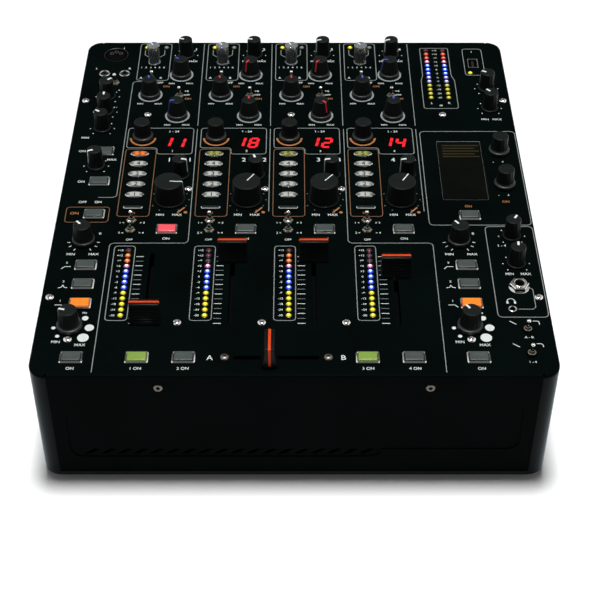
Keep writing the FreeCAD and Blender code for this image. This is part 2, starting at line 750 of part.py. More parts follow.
# Controls of the four channels
for channel in range(CHANNELS):
    name = "channel_%d_" % (channel + 1)
    left = channel_x(channel, LEFT_COLUMN)
    right = channel_x(channel, RIGHT_COLUMN)
    oval = channel_x(channel, OVAL_COLUMN)
    wet = channel_x(channel, WET_COLUMN)
    fader_middle = row(FADER_LOW_ROW + FADER_TRAVEL / 2)
    add_fader(name + "fader", channel_x(channel, FADER_COLUMN), fader_middle, FADER_TRAVEL,
              FADER_RESTS[channel] - FADER_TRAVEL / 2, False)
    add_knob(name + "trim_knob", channel_x(channel, TRIM_COLUMN), row(TRIM_ROW), SLIM_KNOB,
             TRIM_ANGLES[channel])
    add_knob(name + "high_knob", right, row(HIGH_TONE_ROW), SKIRT_KNOB, HIGH_ANGLES[channel])
    add_knob(name + "mid_knob", left, row(MID_TONE_ROW), SKIRT_KNOB, MID_ANGLES[channel])
    add_knob(name + "low_knob", right, row(LOW_TONE_ROW), SKIRT_KNOB, LOW_ANGLES[channel])
    add_knob(name + "input_knob", left, row(INPUT_ROW), CLEAR_KNOB, INPUT_ANGLES[channel])
    add_knob(name + "effect_knob", channel_x(channel, EFFECT_COLUMN), row(EFFECT_ROW), SLIM_KNOB,
             EFFECT_ANGLES[channel])
    add_knob(name + "wet_knob", wet, row(WET_ROW), WIDE_KNOB, WET_ANGLES[channel])
    add_knob(name + "step_encoder", channel_x(channel, ENCODER_COLUMN), row(ENCODER_ROW), ENCODER_KNOB)
    add_toggle("left_tone_toggles", left, row(LEFT_TOGGLE_ROW), False)
    add_toggle("right_tone_toggles", right, row(RIGHT_TOGGLE_ROW), False)
    add_toggle("control_bodies", oval, row(ROUTE_FRONT_ROW), True)
    add_toggle("control_bodies", oval, row(ROUTE_BACK_ROW), True)
    for step in range(OVALS):
        add_oval_button(oval, row(OVAL_LOW_ROW + step * OVAL_PITCH))
    add_bar_button(oval, row(SELECT_ROW))
    add_square_button(wet, row(CUE_ROW))
    for step in range(METER_LAMPS):
        add_lamp(channel_x(channel, METER_COLUMN), row(METER_LOW_ROW + step * METER_PITCH))
    add_lamp(left - INPUT_LAMP_LEFT, row(INPUT_LAMP_ROW))
    add_lamp(left + INPUT_LAMP_RIGHT, row(INPUT_LAMP_ROW))
    add_window(wet, row(DIGIT_ROW), DIGIT_WIDTH, DIGIT_DEPTH)

for channel in range(CHANNELS - 1):
    border = channel_x(channel, BORDER_SCREW_COLUMN)
    add_pillar_screw(border, row(CHANNEL_SCREW_ROW))
    add_pillar_screw(border, row(WET_SCREW_ROW))

for channel in range(0, CHANNELS, 2):
    add_pillar_screw(channel_x(channel, LEFT_COLUMN), row(TONE_SCREW_ROW))

# Front row: two effect buttons on each side of the crossfader
for channel, column in FRONT_BUTTONS:
    add_square_button(channel_x(channel, column), row(FRONT_ROW))
crossfader_x = channel_x(CHANNELS // 2, CROSSFADER_COLUMN)
add_fader("crossfader", crossfader_x, row(CROSSFADER_ROW), CROSSFADER_TRAVEL, CROSSFADER_REST, True)
for side in (-1, 1):
    add_screw(crossfader_x + side * crossfader_screw_spread(), row(CROSSFADER_ROW))

# Filter strips on both sides
filter_columns = [
    ("left", LEFT_EDGE + LEFT_KNOB_COLUMN, LEFT_EDGE + LEFT_BUTTON_COLUMN),
    ("right", RIGHT_EDGE - RIGHT_KNOB_COLUMN, RIGHT_EDGE - RIGHT_BUTTON_COLUMN),
]
for index, (side, knob_x, button_x) in enumerate(filter_columns):
    add_knob(side + "_resonance_knob", knob_x, row(RESONANCE_ROW), SKIRT_KNOB, RESONANCE_ANGLES[index])
    add_knob(side + "_frequency_knob", knob_x, row(FREQUENCY_ROW), FILTER_KNOB, FREQUENCY_ANGLES[index])
    add_square_button(button_x, row(FRONT_ROW))
    for step in range(FILTER_BUTTONS):
        add_square_button(button_x, row(FILTER_BUTTON_ROW + step * FILTER_BUTTON_PITCH))
    add_pillar_screw(knob_x, row(LOW_SCREW_ROW))

# Microphone strip
for knob_row, angle in zip(MIC_KNOB_ROWS, MIC_ANGLES):
    add_knob("side_knobs", LEFT_EDGE + LEFT_KNOB_COLUMN, row(knob_row), SLIM_KNOB, angle)
for button_row in (SHIFT_ROW, MIC_ON_ROW, MIC_CUE_ROW):
    add_square_button(LEFT_EDGE + LEFT_BUTTON_COLUMN, row(button_row))
add_toggle("control_bodies", LEFT_EDGE + LEFT_BUTTON_COLUMN, row(MIC_TOGGLE_ROW), False)

# Right strip
for knob_row, angle in zip(BOOTH_ROWS, BOOTH_ANGLES):
    add_knob("side_knobs", RIGHT_EDGE - SIDE_KNOB_COLUMN, row(knob_row), SLIM_KNOB, angle)
for knob_row, angle in zip(PHONES_ROWS, PHONES_ANGLES):
    add_knob("side_knobs", RIGHT_EDGE - SIDE_KNOB_COLUMN, row(knob_row), SLIM_KNOB, angle)
for knob_row in SIDE_ENCODER_ROWS:
    add_knob("side_knobs", RIGHT_EDGE - SIDE_ENCODER_COLUMN, row(knob_row), ENCODER_KNOB)
for toggle_row in CURVE_ROWS:
    add_toggle("control_bodies", RIGHT_EDGE - SIDE_KNOB_COLUMN, row(toggle_row), True)
for column in MAIN_METER_COLUMNS:
    for step in range(METER_LAMPS):
        add_lamp(RIGHT_EDGE - column, row(MAIN_METER_LOW_ROW + step * MAIN_METER_PITCH))
add_lamp(RIGHT_EDGE - DATA_LAMP_COLUMN, row(DATA_LAMP_ROW))
add_window(RIGHT_EDGE - SCREEN_COLUMN, row(SCREEN_ROW), SCREEN_WIDTH, SCREEN_DEPTH)
add_square_button(RIGHT_EDGE - MENU_COLUMN, row(MENU_ROW))
add_pillar_screw(RIGHT_EDGE - RIGHT_KNOB_COLUMN, row(TONE_SCREW_ROW))
for side in (-1, 1):
    for screw_row in (SIDE_SCREW_LOW_ROW, SIDE_SCREW_HIGH_ROW):
        add_pillar_screw(side * (CASE_WIDTH / 2 - SIDE_SCREW_INSET), row(screw_row))


# Sockets on the panel
def microphone_socket(x, y):
    bottom = PANEL_UNDER - MIC_DEPTH
    body = post(x, y, MIC_BODY_RADIUS, bottom, PANEL_UNDER)
    gap = post(x, y, MIC_RING_RADIUS, PANEL_UNDER - MIC_GAP_DEPTH, PANEL_TOP)
    insert = post(x, y, MIC_INSERT_RADIUS, PANEL_UNDER - MIC_GAP_DEPTH, PANEL_TOP - MIC_INSERT_DROP)
    socket = body.cut(gap).fuse(insert)
    for turn in MIC_PIN_TURNS:
        pin_x = x + MIC_PIN_CIRCLE * math.cos(math.radians(turn))
        pin_y = y + MIC_PIN_CIRCLE * math.sin(math.radians(turn))
        socket = socket.cut(post(pin_x, pin_y, MIC_PIN_RADIUS, PANEL_UNDER - MIC_GAP_DEPTH, PANEL_TOP))
    panel_holes.append(circle(x, y, MIC_RING_RADIUS, PANEL_UNDER))
    board_holes.append(circle(x, y, MIC_BODY_RADIUS + BOARD_HOLE_CLEARANCE, BOARD_TOP - BOARD_THICKNESS))
    return socket.removeSplitter()


def phono_socket(x, y):
    barrel = post(x, y, PHONO_RADIUS, PANEL_UNDER - PHONO_DEPTH, PANEL_TOP + PHONO_PROUD)
    flange = post(x, y, PHONO_RADIUS + PHONO_FLANGE, PANEL_UNDER - PHONO_DEPTH, PANEL_UNDER)
    mouth = post(x, y, PHONO_MOUTH_RADIUS, PANEL_TOP - PHONO_MOUTH_DEPTH, PANEL_TOP + PHONO_PROUD + OVERSHOOT)
    pin_hole = post(x, y, PHONO_PIN_RADIUS, PANEL_UNDER - PHONO_DEPTH + PHONO_FLOOR, PANEL_TOP)
    panel_holes.append(circle(x, y, PHONO_RADIUS + PANEL_HOLE_CLEARANCE, PANEL_UNDER))
    return barrel.fuse(flange).cut(mouth).cut(pin_hole).removeSplitter()


def data_socket(x, y):
    bottom = PANEL_UNDER - DATA_DEPTH
    shell = block(x, y, DATA_WIDTH, DATA_LENGTH, bottom, PANEL_TOP)
    floor = bottom + DATA_FLOOR
    flange = block(x, y, DATA_WIDTH + 2 * DATA_FLANGE, DATA_LENGTH + 2 * DATA_FLANGE, bottom, PANEL_UNDER)
    mouth = block(x, y, DATA_WIDTH - 2 * DATA_WALL, DATA_LENGTH - 2 * DATA_WALL, floor, PANEL_TOP + OVERSHOOT)
    tongue = block(x, y, DATA_TONGUE, DATA_LENGTH - 2 * DATA_TONGUE_INSET, floor - OVERSHOOT,
                   PANEL_TOP - DATA_TONGUE_DROP)
    spread = 2 * PANEL_HOLE_CLEARANCE
    panel_holes.append(rounded(x, y, DATA_WIDTH + spread, DATA_LENGTH + spread, DATA_CORNER, PANEL_UNDER))
    return shell.fuse(flange).cut(mouth).fuse(tongue).removeSplitter()


def jack_socket(x, y, radius, nut_radius, nut_height, body_size, depth):
    """Jack whose body hangs under the panel and whose nut stands on it."""
    body = block(x, y, body_size, body_size, PANEL_UNDER - depth, PANEL_UNDER)
    neck_radius = (radius + nut_radius) / 2
    neck = post(x, y, neck_radius, PANEL_UNDER, PANEL_TOP + nut_height)
    nut = post(x, y, nut_radius, PANEL_TOP, PANEL_TOP + nut_height)
    bore = post(x, y, radius, PANEL_UNDER - depth + JACK_FLOOR, PANEL_TOP + nut_height + OVERSHOOT)
    panel_holes.append(circle(x, y, neck_radius + PANEL_HOLE_CLEARANCE, PANEL_UNDER))
    if depth > BOARD_DROP:
        opening = body_size + 2 * BOARD_HOLE_CLEARANCE
        board_holes.append(rounded(x, y, opening, opening, BOARD_HOLE_CORNER, BOARD_TOP - BOARD_THICKNESS))
    return body.fuse([neck, nut]).cut(bore).removeSplitter()


add("panel_sockets", [microphone_socket(LEFT_EDGE + MIC_SOCKET_COLUMN, row(MIC_SOCKET_ROW))])
add("panel_sockets", [phono_socket(LEFT_EDGE + column, row(PHONO_ROW)) for column in PHONO_COLUMNS])
add("panel_sockets", [data_socket(RIGHT_EDGE - DATA_COLUMN, row(DATA_ROW))])
add("panel_sockets", [jack_socket(RIGHT_EDGE - JACK_COLUMN, row(JACK_ROW), JACK_RADIUS, JACK_NUT_RADIUS,
                                  JACK_NUT_HEIGHT, JACK_BODY, JACK_DEPTH)])
add("panel_sockets", [jack_socket(RIGHT_EDGE - SMALL_JACK_COLUMN, row(SMALL_JACK_ROW), SMALL_JACK_RADIUS,
                                  SMALL_JACK_NUT_RADIUS, SMALL_JACK_NUT_HEIGHT, SMALL_JACK_BODY,
                                  SMALL_JACK_DEPTH)])

# Sockets on the rear panel, and the holes they pass through
rear_holes = []


def add_rear_hole(x, z, radius):
    hole = bar(x, z, radius + PANEL_HOLE_CLEARANCE, REAR_EDGE - SHEET - OVERSHOOT, REAR_EDGE + OVERSHOOT)
    rear_holes.append(hole)


def rear_phono(x, z):
    barrel = bar(x, z, PHONO_RADIUS, REAR_EDGE - SHEET - REAR_PHONO_TAIL, REAR_EDGE + REAR_REACH)
    flange = bar(x, z, REAR_PHONO_FLANGE, REAR_EDGE, REAR_EDGE + REAR_FLANGE_HEIGHT)
    pin_hole = bar(x, z, PHONO_PIN_RADIUS, REAR_EDGE, REAR_EDGE + REAR_REACH + OVERSHOOT)
    add_rear_hole(x, z, PHONO_RADIUS)
    return barrel.fuse(flange).cut(pin_hole).removeSplitter()


def rear_output(x, z):
    rim = REAR_EDGE + REAR_FLANGE_HEIGHT
    floor = rim - OUTPUT_DEPTH
    body = bar(x, z, OUTPUT_BODY_RADIUS, floor - OUTPUT_FLOOR, rim)
    flange = bar(x, z, OUTPUT_FLANGE_RADIUS, REAR_EDGE, rim)
    mouth = bar(x, z, OUTPUT_RADIUS, floor, rim + OVERSHOOT)
    socket = body.fuse(flange).cut(mouth)
    for turn in OUTPUT_PIN_TURNS:
        pin_x = x + MIC_PIN_CIRCLE * math.cos(math.radians(turn))
        pin_z = z + MIC_PIN_CIRCLE * math.sin(math.radians(turn))
        socket = socket.fuse(bar(pin_x, pin_z, MIC_PIN_RADIUS, floor - OVERSHOOT, floor + OUTPUT_PIN_LENGTH))
    add_rear_hole(x, z, OUTPUT_BODY_RADIUS)
    return socket.removeSplitter()


def rear_jack(x, z):
    rim = REAR_EDGE + JACK_NUT_HEIGHT
    neck_radius = (JACK_RADIUS + JACK_NUT_RADIUS) / 2
    inside = REAR_EDGE - SHEET
    half = JACK_BODY / 2
    body = box(x - half, x + half, inside - JACK_DEPTH, inside, z - half, z + half)
    neck = bar(x, z, neck_radius, inside, rim)
    nut = bar(x, z, JACK_NUT_RADIUS, REAR_EDGE, rim)
    bore = bar(x, z, JACK_RADIUS, inside - JACK_DEPTH + JACK_FLOOR, rim + OVERSHOOT)
    add_rear_hole(x, z, neck_radius)
    return body.fuse([neck, nut]).cut(bore).removeSplitter()


def mains_inlet(x, z):
    rim = REAR_EDGE + REAR_FLANGE_HEIGHT
    floor = rim - INLET_DEPTH
    half_w = INLET_WIDTH / 2
    half_h = INLET_HEIGHT / 2
    wall_w = half_w + INLET_WALL
    wall_h = half_h + INLET_WALL
    flange_w = wall_w + INLET_FLANGE
    flange_h = wall_h + INLET_FLANGE
    body = box(x - wall_w, x + wall_w, floor - INLET_FLOOR, rim, z - wall_h, z + wall_h)
    flange = box(x - flange_w, x + flange_w, REAR_EDGE, rim, z - flange_h, z + flange_h)
    mouth = box(x - half_w, x + half_w, floor, rim + OVERSHOOT, z - half_h, z + half_h)
    inlet = body.fuse(flange).cut(mouth)
    for pin_x, pin_z in INLET_PINS:
        pin_left = x + pin_x - INLET_PIN_WIDTH / 2
        pin_low = z + pin_z - INLET_PIN_HEIGHT / 2
        pin = box(pin_left, pin_left + INLET_PIN_WIDTH, floor - OVERSHOOT, floor + INLET_PIN_LENGTH,
                  pin_low, pin_low + INLET_PIN_HEIGHT)
        inlet = inlet.fuse(pin)
    opening_w = wall_w + PANEL_HOLE_CLEARANCE
    opening_h = wall_h + PANEL_HOLE_CLEARANCE
    rear_holes.append(box(x - opening_w, x + opening_w, REAR_EDGE - SHEET - OVERSHOOT, REAR_EDGE + OVERSHOOT,
                          z - opening_h, z + opening_h))
    return inlet.removeSplitter()


def earth_post(x, z):
    add_rear_hole(x, z, EARTH_SHANK_RADIUS)
    head = bar(x, z, EARTH_RADIUS, REAR_EDGE, REAR_EDGE + EARTH_LENGTH)
    shank = bar(x, z, EARTH_SHANK_RADIUS, REAR_EDGE - SHEET - EARTH_TAIL, REAR_EDGE)
    return head.fuse(shank).removeSplitter()


for channel in range(CHANNELS):
    for rise in range(2):
        for side in (-1, 1):
            phono_x = channel_x(channel, CHANNEL_PITCH / 2) + side * REAR_PHONO_SPREAD / 2
            add("rear_sockets", [rear_phono(phono_x, BASE_BOTTOM + REAR_PHONO_LOW + rise * REAR_PHONO_RISE)])
for column in OUTPUT_COLUMNS:
    add("rear_sockets", [rear_output(RIGHT_EDGE - column, BASE_BOTTOM + OUTPUT_HEIGHT)])
    add("rear_sockets", [rear_jack(RIGHT_EDGE - column, BASE_BOTTOM + REAR_JACK_HEIGHT)])
add("rear_sockets", [mains_inlet(LEFT_EDGE + INLET_COLUMN, BASE_BOTTOM + INLET_LIFT)])
add("rear_sockets", [earth_post(LEFT_EDGE + LEFT_STRIP + EARTH_COLUMN, BASE_BOTTOM + EARTH_LIFT)])


# Case
def case_outline(inset, z):
    return rounded(0, MIDDLE_Y, CASE_WIDTH - 2 * inset, CASE_DEPTH - 2 * inset, CORNER_RADIUS - inset, z)


def top_panel():
    outline = case_outline(0, PANEL_UNDER)
    rim = case_outline(0, PANEL_TOP).BoundBox
    panel = sheet(outline, panel_holes, PANEL_SHEET)
    outer = []
    for edge in top_edges(panel, PANEL_TOP):
        limits = edge.BoundBox
        on_side = min(abs(limits.XMin - rim.XMin), abs(limits.XMax - rim.XMax)) < NEAR
        on_end = min(abs(limits.YMin - rim.YMin), abs(limits.YMax - rim.YMax)) < NEAR
        if on_side or on_end:
            outer.append(edge)
    panel = panel.makeFillet(PANEL_EDGE, outer)
    for x in (-FLAT_HALF, FLAT_HALF):
        for y in (FRONT_EDGE, REAR_EDGE):
            notch = block(x, y, NOTCH_WIDTH, 2 * NOTCH_DEPTH, PANEL_UNDER - OVERSHOOT, PANEL_TOP + OVERSHOOT)
            panel = panel.cut(notch)
    return panel


def side_panels():
    ring = sheet(case_outline(0, BASE_BOTTOM), [case_outline(SHEET, BASE_BOTTOM)], PANEL_UNDER - BASE_BOTTOM)
    front = FRONT_EDGE - OVERSHOOT
    back = REAR_EDGE + OVERSHOOT
    left = ring.common(box(LEFT_EDGE - OVERSHOOT, -FLAT_HALF, front, back, 0, PANEL_TOP))
    right = ring.common(box(FLAT_HALF, RIGHT_EDGE + OVERSHOOT, front, back, 0, PANEL_TOP))
    return [left, right]


def vent(index):
    """One leaning slot through the front panel."""
    middle_x = LEFT_EDGE + VENT_START + index * VENT_PITCH
    middle_z = PANEL_TOP - VENT_DROP
    corners = []
    for side_x, side_z in ((-1, -1), (1, -1), (1, 1), (-1, 1)):
        x = middle_x + side_x * VENT_WIDTH / 2 + side_z * VENT_LEAN / 2
        corners.append(point(x, FRONT_EDGE - OVERSHOOT, middle_z + side_z * VENT_HEIGHT / 2))
    return Part.Face(Part.makePolygon(corners + [corners[0]])).extrude(point(0, SHEET + 2 * OVERSHOOT, 0))


def front_screw(x):
    """Countersunk screw of the front panel, as the shape it sinks into and the screw itself."""
    z = PANEL_TOP - FRONT_SCREW_DROP
    back = point(0, 1, 0)
    face = point(x, FRONT_EDGE, z)
    cone = Part.makeCone(SCREW_HEAD_RADIUS, SCREW_SHANK_RADIUS, SHEET, face, back)
    shank = Part.makeCylinder(SCREW_SHANK_RADIUS, SCREW_LENGTH, point(x, FRONT_EDGE + SHEET, z), back)
    drive = Part.makeCylinder(FRONT_DRIVE_RADIUS, SCREW_SOCKET, face, back)
    return cone, cone.fuse(shank).cut(drive).removeSplitter()


def recess_field(left, right, height):
    """Shallow field with round corners, which hangs from the upper edge of the recess."""
    field = solid_from(rounded(0, 0, right - left, height, RECESS_CORNER, 0), RECESS_DEPTH + OVERSHOOT)
    field.rotate(point(0, 0, 0), point(1, 0, 0), 90)
    middle_z = PANEL_TOP - RECESS_TOP - height / 2
    field.translate(point((left + right) / 2, FRONT_EDGE + RECESS_DEPTH, middle_z))
    return field


def front_panel():
    """Flat sheet with vents, and a recess that reaches lower round the vents than beside them."""
    bottom = BASE_BOTTOM + LIP_HEIGHT + LIP_SEAM
    panel = box(-FLAT_HALF, FLAT_HALF, FRONT_EDGE, FRONT_EDGE + SHEET, bottom, PANEL_UNDER)
    side_x = CASE_WIDTH / 2 - RECESS_SIDE
    cuts = [recess_field(-side_x, side_x, RECESS_HEIGHT - RECESS_RISE)]
    cuts.append(recess_field(-side_x, RECESS_STEP, RECESS_HEIGHT))
    cuts += [vent(index) for index in range(VENTS)]
    for side in (-1, 1):
        sink, screw = front_screw(side * FRONT_SCREW_SPREAD)
        cuts.append(sink)
        add("screws_and_pillars", [screw])
    return panel.cut(cuts)


def base_plate():
    inner = solid_from(case_outline(SHEET, BASE_BOTTOM), SHEET)
    middle = box(-FLAT_HALF, FLAT_HALF, FRONT_EDGE, REAR_EDGE, BASE_BOTTOM, BASE_TOP)
    lip = box(-FLAT_HALF, FLAT_HALF, FRONT_EDGE, FRONT_EDGE + SHEET, BASE_BOTTOM, BASE_BOTTOM + LIP_HEIGHT)
    return inner.fuse([middle, lip]).removeSplitter()


def power_supply():
    width, depth, height = SUPPLY_SIZE
    x0 = LEFT_EDGE + SUPPLY_INSET
    y0 = MIDDLE_Y - depth / 2
    unit = box(x0, x0 + width, y0, y0 + depth, BASE_TOP, BASE_TOP + height)
    slots = []
    top = BASE_TOP + height
    pitch = width / SUPPLY_SLOTS
    for index in range(SUPPLY_SLOTS):
        slot_x = x0 + (index + 0.5) * pitch
        slot = block(slot_x, MIDDLE_Y, pitch / 3, depth + 2 * OVERSHOOT,
                     top - SUPPLY_SLOT_DEPTH, top + OVERSHOOT)
        slots.append(slot)
    coil_x = x0 + width + COIL_RADIUS + SUPPLY_INSET
    coil = post(coil_x, MIDDLE_Y, COIL_RADIUS, BASE_TOP, BASE_TOP + COIL_HEIGHT)
    hole = post(coil_x, MIDDLE_Y, COIL_HOLE, BASE_TOP - OVERSHOOT, BASE_TOP + COIL_HEIGHT + OVERSHOOT)
    return [unit.cut(slots), coil.cut(hole)]


def control_board():
    inset = SHEET + BOARD_GAP
    return sheet(case_outline(inset, BOARD_TOP - BOARD_THICKNESS), board_holes, BOARD_THICKNESS)


def feet():
    pads = []
    for x in (LEFT_EDGE + FOOT_INSET, RIGHT_EDGE - FOOT_INSET):
        for y in (FRONT_EDGE + FOOT_INSET, REAR_EDGE - FOOT_INSET):
            pads.append(Part.makeCone(FOOT_RADIUS - FOOT_TAPER, FOOT_RADIUS, FOOT_HEIGHT, point(x, y, 0), UP))
    return pads


add("top_panel", [top_panel()])
add("side_panels", side_panels())
add("front_panel", [front_panel()])
rear = box(-FLAT_HALF, FLAT_HALF, REAR_EDGE - SHEET, REAR_EDGE, BASE_TOP, PANEL_UNDER)
add("rear_panel", [rear.cut(rear_holes)])
add("base_plate", [base_plate()])
add("control_board", [control_board()])
add("power_supply", power_supply())
add("rubber_feet", feet())

os.makedirs("parts", exist_ok=True)
for node, solids in nodes.items():
    shape = solids[0] if len(solids) == 1 else Part.makeCompound(solids)
    shape.exportStep("parts/%s.step" % node)
    count = len(shape.Solids)
    print(node, count, "solids", "valid" if shape.isValid() else "NOT VALID")
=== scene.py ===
import json
import math

import bmesh
import bpy
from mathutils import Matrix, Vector


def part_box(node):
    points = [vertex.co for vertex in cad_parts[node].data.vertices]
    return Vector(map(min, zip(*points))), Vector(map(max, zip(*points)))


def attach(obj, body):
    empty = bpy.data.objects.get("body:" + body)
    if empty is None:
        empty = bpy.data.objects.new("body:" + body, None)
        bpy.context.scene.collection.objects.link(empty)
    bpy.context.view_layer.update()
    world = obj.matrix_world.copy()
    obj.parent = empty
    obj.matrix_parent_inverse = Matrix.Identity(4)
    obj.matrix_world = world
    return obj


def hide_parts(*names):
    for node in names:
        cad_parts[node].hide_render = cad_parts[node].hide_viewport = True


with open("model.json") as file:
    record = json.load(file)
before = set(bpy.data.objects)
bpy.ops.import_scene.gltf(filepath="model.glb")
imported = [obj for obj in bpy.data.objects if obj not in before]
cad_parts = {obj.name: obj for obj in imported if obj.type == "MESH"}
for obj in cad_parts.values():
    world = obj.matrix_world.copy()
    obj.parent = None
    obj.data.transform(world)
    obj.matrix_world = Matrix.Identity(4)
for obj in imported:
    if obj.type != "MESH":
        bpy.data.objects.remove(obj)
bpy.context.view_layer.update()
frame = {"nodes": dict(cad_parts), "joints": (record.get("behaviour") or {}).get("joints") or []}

# Sizes are in millimetres. x runs to the right from the middle, rows run back from the panel's front edge.
MM = 0.001
CHANNELS = 4
WELD = 0.001
NEAR = 3.0
# How far small parts reach below the panel's face
FOOT_SINK = 0.02
# How far a solid stands out, at least, where it counts as in sight
IN_SIGHT = 1.0
# Edges of more degrees than this stay sharp
SHARP_EDGE = 35

# Camera, fitted to the photograph's 600 by 600 frame, with its place in metres and its pitch in degrees
CAMERA_PLACE = (0.0, -0.78648, 0.71139)
CAMERA_PITCH = 42.73
CAMERA_LENS = 86.46
CAMERA_SENSOR = 36.0
CAMERA_SHIFT = 0.0095

# Light and floor, with places and sizes in metres
AMBIENT = 0.12
KEY_PLACE = (0.0, 0.06, 3.0)
KEY_SIZE = 0.5
KEY_POWER = 102.0
FLOOR_REACH = 6.0
FLOOR_GLOW = 0.02
# Dark band in reflections: the x of a direction where it starts to fade and where it ends, and its light
SIDE_START = 0.3
SIDE_END = 0.75
SIDE_SHADE = 0.12

# Noise in the materials: the part of its range that is used, and how strongly it raises the surface
NOISE_LOW = 0.3
NOISE_HIGH = 0.7
BUMP = 0.35

# Print
INK = 0.06
INK_SINK = 0.03
LINE = 0.5
RING_LINE = 1.4
# Painted highlights of the screen window's bevel: breadths of the brighter line along its back edge and of
# the faint frame round it
SCREEN_BACK_HIGHLIGHT = 0.4
SCREEN_HIGHLIGHT_BREADTH = 0.11
DOT = 0.42
CORNER = 2.6
STRIP_CORNER = 3.5
LABEL = 2.2
SMALL_LABEL = 1.8
SCALE_LABEL = 1.7
BOLD = 0.015
CAPITAL_SHARE = 0.7

# Knobs: body radius, top radius, height of the straight foot, height of the flare, number of flutes
KNOB_STYLES = {
    "slim": (5.4, 5.1, 0.8, 1.8, 12),
    "skirt": (6.6, 5.1, 2.4, 4.0, 14),
    "filter": (6.7, 5.8, 2.5, 4.2, 14),
    "encoder": (6.1, 5.7, 2.4, 4.4, 14),
    "wide": (10.0, 9.5, 1.0, 2.0, 18),
    "clear": (4.4, 4.9, 1.2, 2.0, 8),
}
KNOB_OF = {
    "trim_knob": "slim",
    "effect_knob": "slim",
    "high_knob": "skirt",
    "mid_knob": "skirt",
    "low_knob": "skirt",
    "step_encoder": "encoder",
    "wet_knob": "wide",
    "input_knob": "clear",
}
TONE_KNOBS = ("high_knob", "mid_knob", "low_knob")
SKIRTED = ("skirt", "filter", "encoder")
KNOB_GAP = 0.8
KNOB_EDGE = 0.9
KNOB_LEVELS = 6
FLARE_STEPS = 4
FLUTE_DEPTH = 0.22
SPINDLE_RADIUS = 2.5
SHOULDER = 0.7
DISH_RIM = 0.2
DISH_DEPTH = 0.9
POINTER_WIDTH = {"slim": 1.4, "skirt": 1.2, "filter": 1.3, "encoder": 1.2, "wide": 0.7, "clear": 0.9}
POINTER_START = {"slim": 0.25, "skirt": 0.3, "filter": 0.3, "encoder": 0.3, "wide": 0.08, "clear": 0.1}
POINTER_PROUD = 0.07
SLIM_LIMIT = 14.0
# Fixed knobs beside the channels: their pointers from back to front
LEFT_POINTERS = [55, 0, -60, -115]
RIGHT_POINTERS = [-70, -45, 35, 5]

# Fader caps
CAP_TOP = 6.2
CAP_GAP = 0.8
CAP_EDGE = 0.9
CAP_DISH = 0.35
CAP_RIBS = 5
CAP_RIB = 0.1
RIB_START = 0.12
RIB_END = 0.8
CAP_STEPS = 36
CAP_LINE = 1.6
CROSS_LINE_FOOT = 1.2
BLADE = (1.2, 5.0)
BLADE_DEPTH = 3.0

# Buttons
BUTTON_EDGE = 0.6
BUTTON_CORNER = 0.5
# Dish of a square button: how much smaller than the button it is, its corner and its depth
BUTTON_DISH = (3.0, 0.6, 0.12)
BEZEL_WALL = 1.1
BEZEL_SLOPE = 0.6
BEZEL_EDGE = 0.15
FRAME_CORNER = 1.2
LEAST_CORNER = 0.3
OVAL_RIM = 0.8
OVAL_LEAST = 5.0
OVAL_ROW = 171.5
OVAL_PITCH = 11.55
OVAL_LABEL = 3.9
BAR_EDGE = 0.4
BAR_CORNER = 1.2
BAR_LIP = 0.5
SKIRT = 3.0

# Toggles
NUT_FLAT = 2.92
NUT_HEIGHT = 1.5
BUSH_RADIUS = 2.55
BUSH_BORE = 1.85
BUSH_HEIGHT = 2.1
TIP_RADIUS = 1.35
STEM_RADIUS = 0.95
LEVER_COVER = 0.1
LEVER_LEAST = 5.0
# The two curve toggles stand to the right of this x and in front of this row, and have black nuts
CURVE_START = 120.0
CURVE_BACK = 60.0

# Case and screws
SHELL_WALL = 1.5
SHELL_CORNER = 11.0
SHELL_STEPS = 16
SHELL_EDGE = 0.25
SCREW_RADIUS = 2.8
SCREW_HEIGHT = 1.6
SCREW_RIM = 0.25
SCREW_SOCKET = 1.05
SCREW_SOCKET_DEPTH = 0.9
FRONT_SOCKET = 1.25
# Dome of a screw: degrees from ring to ring, and about the sine of the last ring's angle
DOME_STEP = 11
DOME_RISE = 0.914


# Places in the frame
def box_of(node):
    """Lowest and highest corner of a CAD node, in millimetres."""
    low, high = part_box(node)
    return [value / MM for value in low], [value / MM for value in high]


def middle(ends):
    low, high = ends
    return (low[0] + high[0]) / 2, (low[1] + high[1]) / 2


def width(ends):
    return ends[1][0] - ends[0][0]


def depth(ends):
    return ends[1][1] - ends[0][1]


def centre_of(node):
    return middle(box_of(node))


panel_low, panel_high = box_of("top_panel")
FRONT = panel_low[1]
PANEL = panel_high[2]
fader_columns = [centre_of("channel_%d_fader" % (channel + 1))[0] for channel in range(CHANNELS)]


def row(distance):
    return FRONT + distance


def solids_of(node):
    """Lowest and highest corners of a CAD node's separate solids, from left to right, then to the back."""
    mesh = frame["nodes"][node].data
    parent = {}

    def root(key):
        while parent[key] != key:
            parent[key] = parent[parent[key]]
            key = parent[key]
        return key

    keys = []
    for vertex in mesh.vertices:
        key = tuple(round(value / MM / WELD) for value in vertex.co)
        parent.setdefault(key, key)
        keys.append(key)
    for edge in mesh.edges:
        parent[root(keys[edge.vertices[0]])] = root(keys[edge.vertices[1]])
    boxes = {}
    for key in parent:
        place = [value * WELD for value in key]
        low, high = boxes.setdefault(root(key), (list(place), list(place)))
        for axis in range(3):
            low[axis] = min(low[axis], place[axis])
            high[axis] = max(high[axis], place[axis])
    return sorted(boxes.values(), key=lambda ends: (round(ends[0][0], 1), round(ends[0][1], 1)))


# Materials
def set_inputs(node, **values):
    """Constants of a node's inputs, whose names have low lines in place of blanks."""
    for entry, value in values.items():
        node.inputs[entry.replace("_", " ")].default_value = value
    return node


def add_node(tree, kind, **values):
    return set_inputs(tree.nodes.new("ShaderNode" + kind), **values)


def linked(tree, source, output, target, entry):
    tree.links.new(source.outputs[output], target.inputs[entry])


